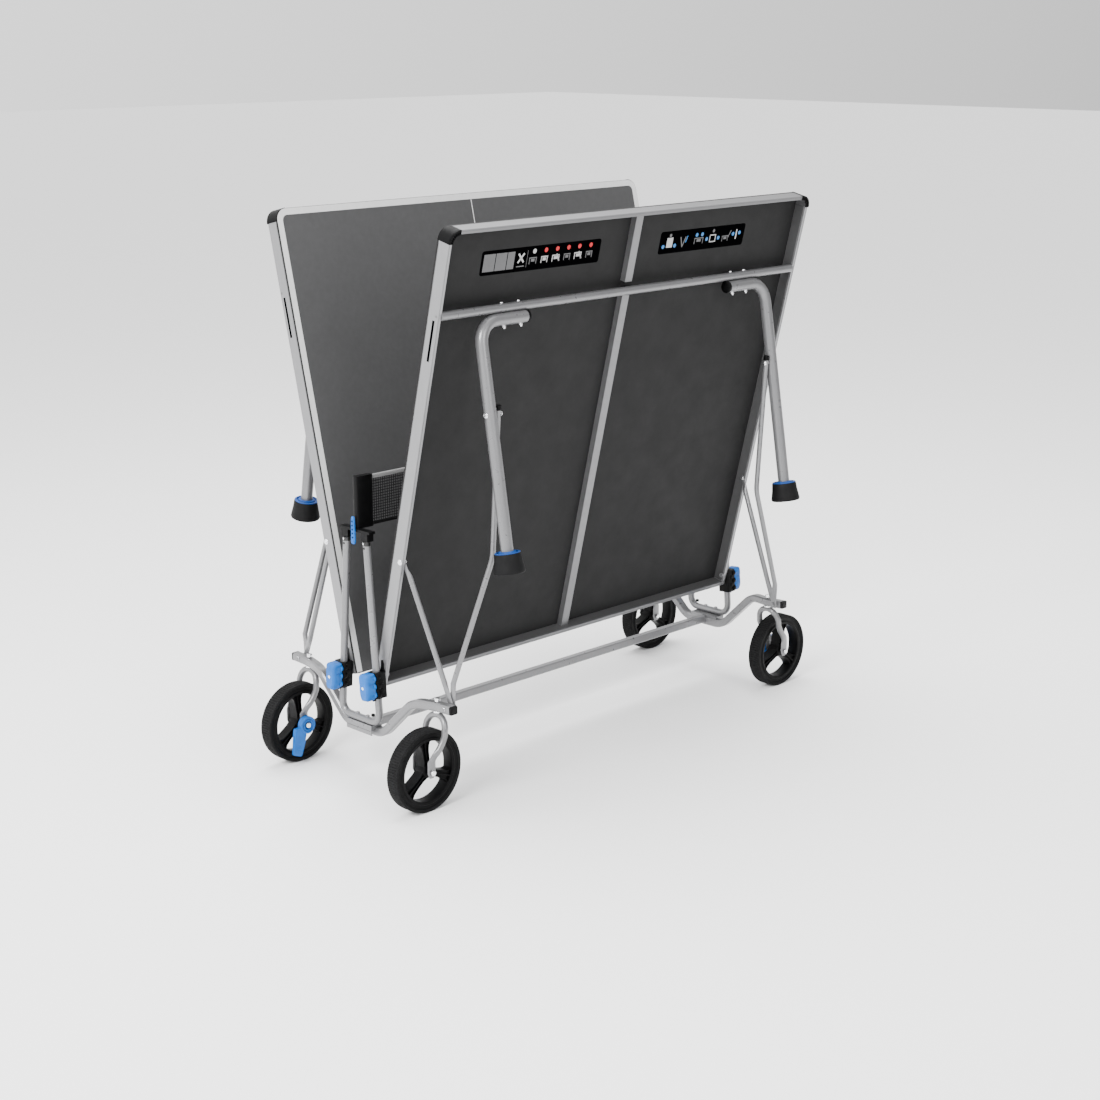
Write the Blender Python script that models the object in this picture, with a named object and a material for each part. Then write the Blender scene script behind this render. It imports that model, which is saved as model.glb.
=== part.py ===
"""Folding outdoor table-tennis table, standing folded on its casters.

X runs along the net, Y across it and Z up, in metres.  The origin is on the floor, in the middle
of the four casters.  The near half is the one on the -Y side.  The far half is the same half
turned by 180 degrees about Z, so everything that belongs to a half is built under an empty
called near_side or far_side, and only the near half is described here.

A half has its own coordinates: x along the net, s along the half from its net edge to its
outer edge, and d below the playing face.
"""

from math import atan2, cos, pi, radians, sin

import bmesh
import bpy
from mathutils import Matrix, Vector

GAP = 0.0003                  # between pieces that touch
RUNNING_GAP = 0.0005          # between flat faces that move over each other

# Tops
TABLE_WIDTH = 1.525           # along the net
HALF_LENGTH = 1.370
BOARD = 0.006
APRON_DEPTH = 0.045           # from the playing face to the apron's lower edge
RAIL = 0.012                  # wall of the apron
CORNER = 0.036                # the outer corners' radius, and the corner caps' reach
NET_CORNER = 0.006            # the board's corner radius at the net
RIB_WIDTH = 0.028
RIB_DEPTH = 0.019

# The folded half: where its net edge is, and how far it leans out
FOLD_TILT = radians(13.29)
EDGE_Y = -0.0379
EDGE_Z = 0.3246
PLAY_HEIGHT = 0.765

# Pivots on a half, as (s, d)
SLIDER_PIVOT = (0.0336, 0.0357)
ARM_PIVOT = (0.397, 0.0365)
CROSS_PIVOT = (1.130, 0.0385)

# Chassis
FRAME_X = 0.741               # end frames, at their ends
DIP_X = 0.762                 # end frames, in the dip
FRAME_WIDTH = 0.028
FRAME_HEIGHT = 0.025
FRAME_LINE = ((0.354, 0.303), (0.290, 0.3005), (0.212, 0.2975), (0.080, 0.170), (0.0, 0.170))
FRAME_BEND = 0.075
BOLT_Y = 0.331                # pivot of the arms and the braces
BOLT_Z = 0.303
KING_Y = 0.290                # swivel axis of a caster
RAIL_Z = 0.178
RAIL_SIZE = 0.025

# Posts: a U of round tube at each end, its uprights leaning together
POST_X = 0.7825
POST_RADIUS = 0.011
POST_TOP = 0.745
POST_TOP_Y = 0.0435
POST_LEAN = 0.0774            # along Y for each metre of height
POST_FOOT = 0.204
POST_BEND = 0.032

# Legs
TUBE = 0.0125                 # radius of the cross tube
LEG_RADIUS = 0.018
LEG_X = 0.611
LEG_INNER_X = 0.430
LEG_BEND = 0.060
LEG_TILT = radians(9.5)       # lean of a folded leg
FOOT_HEIGHT = 0.056
FOOT_SOCKET = 0.030
FOOT_TOP_RADIUS = 0.038
FOOT_RADIUS = 0.045
BRACE_ON_LEG = 0.2845         # from the cross tube's axis to the brace's bolt

# Arms and braces
ARM_RADIUS = 0.008
FLAT = 0.004                  # thickness of a tube's pressed end
FLAT_HALF_WIDTH = 0.011
FLAT_LENGTH = 0.045
BRACE_X = 0.583
BRACE_BEND = 0.417            # height of the brace's bend above its pivot
BOLT = 0.004
BOLT_HOLE = 0.0043

# Casters
WHEEL_RADIUS = 0.122
RIM_RADIUS = 0.112
WINDOW_RADIUS = 0.088
HUB_RADIUS = 0.018
TYRE_WIDTH = 0.044
RIM_WIDTH = 0.038
TRAIL = 0.054
FORK_RADIUS = 0.0095
FORK_FLAT = (1.6, 0.25)         # a pressed end's width and thickness, of the round tube's
FORK_HALF = 0.040
FORK_FLAT_Y = 0.032
ARCH_Z = 0.276
LEVER_BOSS = 0.0267
LEVER_DEPTH = 0.0190            # along the axle
LEVER_ARM_DEPTH = 0.0125
LEVER_RECESS = 0.006
LEVER_LIFT = radians(65)       # from braked to free
SPOKE_ANGLES = (97, -23, -143)

# Sliders and knobs
COLLAR_LOW = -0.0620          # from the slider's pivot, along the post
COLLAR_HIGH = 0.0135
SLIDER_BACK = 0.0195          # from the post's axis to the slider's outer face
POST_BORE = 0.0119
KNOB = (0.035, 0.039, 0.080)
KNOB_AXIS = -0.0248            # from the slider's pivot, along the post

# Net
NET_LOW = 0.7765
NET_HIGH = 0.929
NET_POST_INNER = 0.7237
NET_POST_OUTER = 0.786
NET_BRACKET_OUTER = 0.7908
NET_LEVER_X = 0.7945

SILVER = ((0.62, 0.63, 0.65), 0.38, 0.55)
SLATE = ((0.055, 0.055, 0.058), 0.60, 0.0)
BLACK = ((0.018, 0.018, 0.020), 0.45, 0.0)
RUBBER = ((0.030, 0.030, 0.032), 0.80, 0.0)
BLUE = ((0.09, 0.32, 0.75), 0.40, 0.0)

HALF = TABLE_WIDTH / 2


# ---------------------------------------------------------------- shapes

def circle(radius, sides=12):
    """Points of a circle, counter-clockwise."""
    return [(radius * cos(2 * pi * i / sides), radius * sin(2 * pi * i / sides))
            for i in range(sides)]


def rounded_box(width, height, radius, steps=3):
    """Outline of a rectangle centred on its middle, with round corners."""
    points = []
    for quarter in range(4):
        sign_a = 1 if quarter in (0, 3) else -1
        sign_b = 1 if quarter in (0, 1) else -1
        for i in range(steps + 1):
            angle = pi / 2 * (quarter + i / steps)
            points.append((sign_a * (width / 2 - radius) + radius * cos(angle),
                           sign_b * (height / 2 - radius) + radius * sin(angle)))
    return points


def loft(rings, closed=False):
    """A solid skinned over rings of equal length: capped, or closed on itself."""
    bm = bmesh.new()
    loops = [[bm.verts.new(point) for point in ring] for ring in rings]
    pairs = list(zip(loops, loops[1:]))
    if closed:
        pairs.append((loops[-1], loops[0]))
    count = len(rings[0])
    for low, high in pairs:
        for i in range(count):
            j = (i + 1) % count
            bm.faces.new((low[i], low[j], high[j], high[i]))
    if not closed:
        bm.faces.new(list(reversed(loops[0])))
        bm.faces.new(loops[-1])
    bmesh.ops.recalc_face_normals(bm, faces=bm.faces)
    return bm


def joined(parts):
    """Several separate solids in one mesh."""
    whole = bmesh.new()
    for part in parts:
        mesh = bpy.data.meshes.new("part")
        part.to_mesh(mesh)
        part.free()
        whole.from_mesh(mesh)
        bpy.data.meshes.remove(mesh)
    return whole


def moved(bm, matrix):
    """The same solid, carried by a matrix."""
    bmesh.ops.transform(bm, matrix=matrix, verts=bm.verts)
    if matrix.determinant() < 0:
        bmesh.ops.reverse_faces(bm, faces=bm.faces)
    return bm


def prism(outline, low, high, axis="Z"):
    """An outline drawn out from low to high along an axis; the outline is in the other two."""
    turn = {"Z": lambda a, b, c: (a, b, c),
            "Y": lambda a, b, c: (a, c, b),
            "X": lambda a, b, c: (c, a, b)}[axis]
    return loft([[turn(a, b, level) for a, b in outline] for level in (low, high)])


def box(low, high):
    """A plain block between two corners."""
    (x0, y0, z0), (x1, y1, z1) = low, high
    return prism([(x0, y0), (x1, y0), (x1, y1), (x0, y1)], z0, z1)


def turned(profile, sides=16, axis="Z", closed=False):
    """A turned solid from (radius, level) points; a closed profile gives a ring."""
    turn = {"Z": lambda a, b, c: (a, b, c),
            "Y": lambda a, b, c: (a, c, b),
            "X": lambda a, b, c: (c, a, b)}[axis]
    return loft([[turn(a, b, level) for a, b in circle(radius, sides)]
                 for radius, level in profile], closed)


def rounded_path(points, radius, steps=6):
    """A line through the points with each inner corner turned on an arc."""
    points = [Vector(point) for point in points]
    path = [points[0]]
    for before, corner, after in zip(points, points[1:], points[2:]):
        a = (before - corner).normalized()
        b = (after - corner).normalized()
        half_angle = a.angle(b) / 2
        centre = corner + (a + b).normalized() * radius / sin(half_angle)
        reach = radius / (sin(half_angle) / cos(half_angle))
        start = corner + a * reach - centre
        end = corner + b * reach - centre
        sweep = start.angle(end)
        for i in range(steps + 1):
            t = i / steps
            path.append(centre + (start * sin((1 - t) * sweep) + end * sin(t * sweep)) / sin(sweep))
    path.append(points[-1])
    return path


def swept(path, section, side, scales=None):
    """A section carried along a path. Its first coordinate stays along side, made square."""
    path = [Vector(point) for point in path]
    rings = []
    for i, point in enumerate(path):
        ahead = path[min(i + 1, len(path) - 1)] - point
        behind = point - path[max(i - 1, 0)]
        if ahead.length == 0:
            tangent = behind.normalized()
        elif behind.length == 0:
            tangent = ahead.normalized()
        else:
            tangent = (ahead.normalized() + behind.normalized()).normalized()
        across = (Vector(side) - tangent * tangent.dot(Vector(side))).normalized()
        upright = tangent.cross(across)
        wide, thick = scales[i] if scales else (1.0, 1.0)
        rings.append([point + across * a * wide + upright * b * thick for a, b in section])
    return loft(rings)


# ---------------------------------------------------------------- objects

def material(name, look):
    """A plain Principled material: colour, roughness, metallic."""
    colour, roughness, metallic = look
    made = bpy.data.materials.new(name)
    made.use_nodes = True
    shader = made.node_tree.nodes["Principled BSDF"]
    shader.inputs["Base Color"].default_value = (*colour, 1.0)
    shader.inputs["Roughness"].default_value = roughness
    shader.inputs["Metallic"].default_value = metallic
    return made


def empty(name, location=(0, 0, 0), rotation=(0, 0, 0), parent=None):
    """An empty that carries pieces, usually on a joint's axis."""
    made = bpy.data.objects.new(name, None)
    made.location = location
    made.rotation_euler = rotation
    made.parent = parent
    bpy.context.collection.objects.link(made)
    return made


def piece(name, bm, look, parent=None, location=(0, 0, 0), rotation=(0, 0, 0), smooth=True):
    """One named sub-part with its own material."""
    mesh = bpy.data.meshes.new(name)
    bm.to_mesh(mesh)
    bm.free()
    if smooth:
        mesh.shade_smooth()
        mesh.set_sharp_from_angle(angle=radians(35))
    made = bpy.data.objects.new(name, mesh)
    mesh.materials.append(material(name, look))
    made.location = location
    made.rotation_euler = rotation
    made.parent = parent
    bpy.context.collection.objects.link(made)
    return made


def combine(target, solid, operation, location=(0, 0, 0)):
    """Weld a solid to a piece, or cut it out; it sits beside the piece, under the same parent."""
    mesh = bpy.data.meshes.new(target.name + "_" + operation.lower())
    solid.to_mesh(mesh)
    solid.free()
    helper = bpy.data.objects.new(mesh.name, mesh)
    helper.location = location
    helper.parent = target.parent
    helper.hide_render = True
    helper.display_type = "WIRE"
    bpy.context.collection.objects.link(helper)
    boolean = target.modifiers.new(operation.lower(), "BOOLEAN")
    boolean.operation = operation
    boolean.solver = "EXACT"
    boolean.object = helper


def weld(target, solid, location=(0, 0, 0)):
    combine(target, solid, "UNION", location)


def cut(target, solid, location=(0, 0, 0)):
    combine(target, solid, "DIFFERENCE", location)


# ---------------------------------------------------------------- fold geometry

def fold_point(s, d, tilt=FOLD_TILT, edge=(EDGE_Y, EDGE_Z)):
    """(y, z) of a point of the near half, from its s and d."""
    return Vector((edge[0] - s * sin(tilt) - d * cos(tilt), edge[1] + s * cos(tilt) - d * sin(tilt)))


SLIDER_POINT = fold_point(*SLIDER_PIVOT)
ARM_POINT = fold_point(*ARM_PIVOT)
CROSS_POINT = fold_point(*CROSS_PIVOT)
FRAME_BOLT = Vector((-BOLT_Y, BOLT_Z))
LEG_LENGTH = PLAY_HEIGHT - CROSS_PIVOT[1]
BRACE_POINT = CROSS_POINT + BRACE_ON_LEG * Vector((-sin(LEG_TILT), -cos(LEG_TILT)))
POST_TILT = atan2(POST_LEAN, 1.0)


def label_of(sign):
    """The name of an end of the table, from the sign of its x."""
    return "left" if sign < 0 else "right"


def length_and_lean(start, end):
    """Length of a link and its lean from upright, positive towards -Y."""
    line = end - start
    return line.length, atan2(-line.x, line.y)


def post_y(z):
    """Distance of an upright's axis from the middle, at a height."""
    return POST_TOP_Y + (POST_TOP - z) * POST_LEAN


# ---------------------------------------------------------------- chassis

def end_frame_path():
    """Centre line of a left end frame, from the near end to the far end."""
    def station(y, z, sign):
        depth = min(1.0, max(0.0, (0.29 - y) / 0.09))
        return (-(FRAME_X + (DIP_X - FRAME_X) * depth), sign * y, z)
    near = [station(y, z, -1) for y, z in FRAME_LINE[:-1]]
    far = [station(y, z, 1) for y, z in reversed(FRAME_LINE[:-1])]
    return rounded_path(near + far, FRAME_BEND, 5)


def build_end_frame(name, turn):
    """One bent tube with the posts' saddle and the links' pivot bolts welded to it."""
    side = empty(name + "_place", rotation=(0, 0, turn))
    section = rounded_box(FRAME_WIDTH, FRAME_HEIGHT, 0.004, 1)
    frame = piece(name, swept(end_frame_path(), section, (1, 0, 0)), SILVER, side)

    bed = FRAME_LINE[-1][1] + FRAME_HEIGHT / 2 - 0.004
    top = POST_FOOT - POST_RADIUS - GAP
    saddle = [(-0.752, bed), (-0.7885, bed), (-0.7885, 0.163), (-0.7925, 0.163), (-0.7925, top),
              (-0.752, top)]
    weld(frame, prism(saddle, -0.056, 0.056, "Y"))

    outer = FRAME_X + FRAME_WIDTH / 2
    inner = FRAME_X - FRAME_WIDTH / 2 - 2 * FLAT - 4 * RUNNING_GAP
    shank = ((0.0065, -outer - 0.004), (0.0065, -outer + 0.002), (BOLT, -outer + 0.002), (BOLT, -inner),
             (0.0070, -inner), (0.0070, -inner + 0.006))
    bolts = [moved(turned(shank, 12, "X"), Matrix.Translation((0, sign * BOLT_Y, BOLT_Z)))
             for sign in (-1, 1)]
    weld(frame, joined(bolts))

    king = ((BOLT_HOLE, 0.27), (BOLT_HOLE, 0.33))
    cut(frame, joined([moved(turned(king, 12), Matrix.Translation((-FRAME_X, sign * KING_Y, 0)))
                       for sign in (-1, 1)]))


def build_chassis():
    """Everything that stands still between the casters."""
    build_end_frame("end_frame_left", 0.0)
    build_end_frame("end_frame_right", pi)

    end = DIP_X - FRAME_WIDTH / 2 - GAP
    rail_outline = [(y, RAIL_Z + z) for y, z in rounded_box(RAIL_SIZE, RAIL_SIZE, 0.003, 1)]
    piece("centre_rail", prism(rail_outline, -end, end, "X"), SILVER)

    foot_y = post_y(POST_FOOT)
    uprights = rounded_path([(0, -POST_TOP_Y, POST_TOP), (0, -foot_y, POST_FOOT),
                             (0, foot_y, POST_FOOT), (0, POST_TOP_Y, POST_TOP)], POST_BEND, 5)
    for name, sign in (("post_tube_left", -1), ("post_tube_right", 1)):
        piece(name, swept(uprights, circle(POST_RADIUS, 16), (1, 0, 0)), SILVER,
              location=(sign * POST_X, 0, 0))


# ---------------------------------------------------------------- net

def build_net():
    """The net posts on their brackets, their levers and the net between them."""
    low, deck = POST_TOP + 0.0015, NET_LOW - 0.007
    boss_in, boss_out = POST_TOP_Y - 0.014, POST_TOP_Y + 0.014
    bracket = [(-0.066, deck), (-boss_out, deck), (-boss_out, low), (-boss_in, low), (-boss_in, deck),
               (boss_in, deck), (boss_in, low), (boss_out, low), (boss_out, deck), (0.066, deck),
               (0.066, NET_LOW), (-0.066, NET_LOW)]
    middle = (NET_POST_INNER + NET_POST_OUTER) / 2
    blade = [(-0.0075, -0.013), (0.0075, -0.013), (0.0075, 0.010), (0.006, 0.060), (0.0035, 0.068),
             (-0.0035, 0.068), (-0.006, 0.060), (-0.0075, 0.010)]
    for label, sign in (("left", -1), ("right", 1)):
        upright = [(sign * middle + a, b) for a, b in
                   rounded_box(NET_POST_OUTER - NET_POST_INNER, 0.020, 0.006, 2)]
        post = piece("net_post_" + label, prism(upright, NET_LOW - 0.0005, NET_HIGH), BLACK, smooth=False)
        weld(post, prism(bracket, *sorted((sign * 0.768, sign * NET_BRACKET_OUTER)), "X"))
        axis = empty(f"net_lever_{label}_axis", (sign * NET_LEVER_X, 0, 0.745))
        piece("net_lever_" + label, prism(blade, -0.003, 0.003, "X"), BLUE, axis)

    reach = NET_POST_INNER - GAP
    band, cord, web = 0.0025, 0.003, 0.001
    profile = [(-cord, 0.777), (cord, 0.777), (cord, 0.785), (web, 0.785), (web, 0.913), (band, 0.913),
               (band, 0.926), (-band, 0.926), (-band, 0.913), (-web, 0.913), (-web, 0.785), (-cord, 0.785)]
    piece("net", prism(profile, -reach, reach, "X"), BLACK, smooth=False)


# ---------------------------------------------------------------- casters

def fork_path(sign):
    """Centre line of one side of a fork, from its axle end up to the top of the arch."""
    flat_y, leg_y = sign * FORK_FLAT_Y, sign * FORK_HALF
    stations = [(-TRAIL, flat_y, 0.106), (-TRAIL, flat_y, 0.122), (-TRAIL, flat_y, 0.154),
                (-0.90 * TRAIL, flat_y + sign * 0.004, 0.168), (-0.62 * TRAIL, leg_y, 0.186),
                (-0.38 * TRAIL, leg_y, 0.203), (-0.20 * TRAIL, leg_y, 0.222), (-0.18 * TRAIL, leg_y, 0.236)]
    scales = [(0.9, FORK_FLAT[1]), FORK_FLAT, FORK_FLAT, (1.25, 0.55)] + [(1.0, 1.0)] * 4
    steps = 5
    for i in range(1, steps + 1):
        angle = pi / 2 * i / steps
        stations.append((-0.18 * TRAIL * (1 - sin(angle)), leg_y * cos(angle),
                         ARCH_Z - FORK_HALF + FORK_HALF * sin(angle)))
        scales.append((1.0, 1.0))
    return stations, scales


def build_fork(name, parent, lever_side):
    """An inverted U of round tube with pressed ends, its king bolt and its axle bolt."""
    near, near_scales = fork_path(-1)
    far, far_scales = fork_path(1)
    path = near + far[-2::-1]
    scales = near_scales + far_scales[-2::-1]
    fork = piece(name, swept(path, circle(FORK_RADIUS, 12), (1, 0, 0), scales), SILVER, parent)

    frame_low = FRAME_LINE[1][1] - FRAME_HEIGHT / 2 - 0.0025
    frame_high = FRAME_LINE[1][1] + FRAME_HEIGHT / 2 + 0.0020
    seat = ARCH_Z + FORK_RADIUS - 0.0007
    king = ((0.0070, ARCH_Z), (0.0070, seat), (0.010, seat), (0.010, frame_low), (BOLT, frame_low),
            (BOLT, frame_high), (0.0075, frame_high), (0.0075, frame_high + 0.009))
    weld(fork, turned(king, 12))

    flat = FORK_FLAT_Y + FORK_FLAT[1] * FORK_RADIUS
    plain = -flat - 0.005
    levered = flat + LEVER_DEPTH - LEVER_RECESS + 2 * RUNNING_GAP
    axle = ((0.0070, plain), (0.0070, -flat + 0.001), (BOLT, -flat + 0.001), (BOLT, levered),
            (0.0075, levered), (0.0075, levered + 0.0045))
    if not lever_side:
        axle = axle[:3] + ((BOLT, flat - 0.001), (0.0075, flat - 0.001), (0.0075, flat + 0.005))
    sign = lever_side or 1
    weld(fork, turned([(r, sign * y) for r, y in axle], 12, "Y"), (-TRAIL, 0, WHEEL_RADIUS))


def build_wheel(name, parent):
    """A three-spoke rim: a polar grid whose window cells are left open, drawn out to its width."""
    sectors = 36
    radii = (BOLT_HOLE, HUB_RADIUS, WINDOW_RADIUS, RIM_RADIUS)
    bm = bmesh.new()
    grid = [[bm.verts.new((r * cos(2 * pi * i / sectors), -RIM_WIDTH / 2, r * sin(2 * pi * i / sectors)))
             for i in range(sectors)] for r in radii]
    for ring in range(len(radii) - 1):
        for i in range(sectors):
            middle = 360 * (i + 0.5) / sectors
            off_spoke = min(abs((middle - angle + 180) % 360 - 180) for angle in SPOKE_ANGLES)
            if ring == 1 and off_spoke > 12:
                continue
            j = (i + 1) % sectors
            bm.faces.new((grid[ring][i], grid[ring + 1][i], grid[ring + 1][j], grid[ring][j]))
    drawn = bmesh.ops.extrude_face_region(bm, geom=bm.faces[:])["geom"]
    corners = [v for v in drawn if isinstance(v, bmesh.types.BMVert)]
    bmesh.ops.translate(bm, vec=(0, RIM_WIDTH, 0), verts=corners)
    bmesh.ops.recalc_face_normals(bm, faces=bm.faces)
    piece(name, bm, BLACK, parent)


def build_tyre(name, parent):
    """A solid tread ring with rounded shoulders."""
    half = TYRE_WIDTH / 2
    inner = RIM_RADIUS + GAP
    profile = ((inner, -half), (WHEEL_RADIUS - 0.004, -half), (WHEEL_RADIUS, -half + 0.006),
               (WHEEL_RADIUS, half - 0.006), (WHEEL_RADIUS - 0.004, half), (inner, half))
    piece(name, turned(profile, 36, "Y", closed=True), RUBBER, parent)


def build_brake(name, parent, inner_side, lift):
    """A foot lever on the axle: a boss with a sunk face and a cranked arm, raised by lift."""
    low = FORK_FLAT_Y + FORK_FLAT[1] * FORK_RADIUS + RUNNING_GAP
    high = low + LEVER_DEPTH
    boss = ((BOLT_HOLE, low), (LEVER_BOSS, low), (LEVER_BOSS, high), (0.0135, high),
            (0.0135, high - LEVER_RECESS), (BOLT_HOLE, high - LEVER_RECESS))
    turn = Matrix.Rotation(lift, 4, "Y")
    boss = turned([(r, inner_side * y) for r, y in boss], 20, "Y", closed=True)
    lever = piece(name, moved(boss, turn), BLUE, parent)
    arm = [(-0.0048, -0.020), (-0.0053, -0.048), (-0.0235, -0.095), (-0.052, -0.086), (-0.043, -0.005),
           (-0.020, -0.004)]
    levels = sorted((inner_side * (low + 0.0003), inner_side * (low + LEVER_ARM_DEPTH)))
    weld(lever, moved(prism(arm, *levels, "Y"), turn))


def build_caster(label, side, end, brake, lift):
    """A raked swivel caster. Its own frame has the king axis at the origin, trailing to -X."""
    swivel = empty(label + "_swivel", (end * FRAME_X, -KING_Y, 0), (0, 0, 0 if end < 0 else pi), side)
    inner_side = 1 if end < 0 else -1
    build_fork(label + "_fork", swivel, inner_side if brake else 0)
    hub = empty(label + "_wheel_axis", (-TRAIL, 0, WHEEL_RADIUS), parent=swivel)
    build_wheel(label + "_rim", hub)
    build_tyre(label + "_tyre", hub)
    if brake:
        build_brake(label + "_brake_lever", hub, inner_side, lift)


# ---------------------------------------------------------------- a half

def board_outline():
    """The board seen from below, as (x, s)."""
    def corner(x, s, radius, quarter):
        centre = Vector((x, s))
        steps = 6
        return [tuple(centre + radius * Vector((cos(pi / 2 * (quarter + i / steps)),
                                                sin(pi / 2 * (quarter + i / steps)))))
                for i in range(steps + 1)]
    outer_x, outer_s = HALF - CORNER, HALF_LENGTH - CORNER
    return (corner(outer_x, outer_s, CORNER, 0) + corner(-outer_x, outer_s, CORNER, 1)
            + corner(-HALF + NET_CORNER, NET_CORNER, NET_CORNER, 2)
            + corner(HALF - NET_CORNER, NET_CORNER, NET_CORNER, 3))


def build_panel(name, side, world):
    """The board with its rib and the apron's four rails, on an axis through the slider pivots."""
    pivot_s, pivot_d = SLIDER_PIVOT
    axis = empty(name + "_fold_axis", (0, *SLIDER_POINT), (pi / 2 + FOLD_TILT, 0, 0), side)
    place = (0, -pivot_s, -pivot_d)
    top = BOARD + GAP

    board = piece(name + "_board", prism(board_outline(), 0, BOARD), SLATE, axis, place, smooth=False)
    rib_end = HALF_LENGTH - RAIL - GAP
    rib = box((-RIB_WIDTH / 2, RAIL + GAP, BOARD / 2), (RIB_WIDTH / 2, rib_end, BOARD + RIB_DEPTH))
    weld(board, rib, place)

    rail_end = HALF_LENGTH - CORNER
    for end in (-1, 1):
        wall = sorted((end * HALF, end * (HALF - RAIL)))
        rail = box((wall[0], 0, top), (wall[1], rail_end, APRON_DEPTH))
        made = piece(f"{name}_side_rail_{label_of(end * world)}", rail, SILVER, axis, place, smooth=False)
        pin = ((BOLT, end * (HALF - RAIL / 2)), (BOLT, end * (HALF + 0.0060)))
        head = ((0.0075, end * (HALF - RAIL - 0.005)), (0.0075, end * (HALF - RAIL + 0.002)))
        stud = joined([turned(pin, 12, "X"), turned(head, 12, "X")])
        weld(made, moved(stud, Matrix.Translation((0, *SLIDER_PIVOT))), place)
        hole = turned(((BOLT_HOLE, end * (HALF - 2 * RAIL)), (BOLT_HOLE, end * (HALF + RAIL))), 12, "X")
        cut(made, moved(hole, Matrix.Translation((0, *CROSS_PIVOT))), place)

    inner_end = HALF - RAIL - GAP
    net_rail = box((-inner_end, 0, top), (inner_end, RAIL, APRON_DEPTH))
    piece(name + "_net_rail", net_rail, SILVER, axis, place, smooth=False)
    piece(name + "_outer_rail", outer_rail(top, rail_end), SILVER, axis, place, smooth=False)


def outer_rail(top, rail_end):
    """The apron along the outer edge, with its round corners that meet the side rails."""
    arc = [pi / 2 * i / 6 for i in range(7)]
    centre_x = HALF - CORNER
    outside = [(centre_x + CORNER * cos(a), rail_end + CORNER * sin(a)) for a in arc]
    inside = [(centre_x + (CORNER - RAIL) * cos(a), rail_end + (CORNER - RAIL) * sin(a)) for a in arc]
    outside[0] = (outside[0][0], rail_end + GAP)
    inside[0] = (inside[0][0], rail_end + GAP)
    far_outside = [(-x, s) for x, s in reversed(outside)]
    far_inside = [(-x, s) for x, s in inside]
    return prism(outside + far_outside + far_inside + inside[::-1], top, APRON_DEPTH)


def build_legs(name, side, world):
    """The cross tube, the two legs screwed under it and their feet, on the cross tube's axis."""
    axis = empty(name + "_leg_axis", (0, *CROSS_POINT), (-LEG_TILT, 0, 0), side)
    shoulder = HALF - RAIL - 0.001
    pin = HALF - RUNNING_GAP
    profile = ((BOLT, -pin), (BOLT, -shoulder), (TUBE, -shoulder), (TUBE, shoulder),
               (BOLT, shoulder), (BOLT, pin))
    piece(name + "_cross_tube", turned(profile, 16, "X"), SILVER, axis)

    drop = TUBE + LEG_RADIUS + GAP
    tube_end = LEG_LENGTH - FOOT_HEIGHT + FOOT_SOCKET - GAP
    ankle = -(LEG_LENGTH - FOOT_HEIGHT)
    bore = LEG_RADIUS + GAP
    cup = ((bore, ankle - FOOT_SOCKET), (bore, ankle), (FOOT_TOP_RADIUS, ankle),
           (FOOT_RADIUS, -LEG_LENGTH + 0.008), (FOOT_RADIUS - 0.002, -LEG_LENGTH))
    for end in (-1, 1):
        label = label_of(end * world)
        path = rounded_path([(end * LEG_INNER_X, 0, -drop), (end * LEG_X, 0, -drop),
                             (end * LEG_X, 0, -tube_end)], LEG_BEND, 6)
        piece(f"{name}_leg_{label}", swept(path, circle(LEG_RADIUS, 16), (0, 1, 0)), SILVER, axis)
        piece(f"{name}_foot_{label}", turned(cup, 20), RUBBER, axis, (end * LEG_X, 0, 0))


def pressed_ends(stations, flat_ends):
    """Scales that press a round tube flat over the stations that are named."""
    flat = (FLAT_HALF_WIDTH / ARM_RADIUS, FLAT / 2 / ARM_RADIUS)
    return [flat if i in flat_ends else (1.0, 1.0) for i in range(len(stations))]


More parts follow.
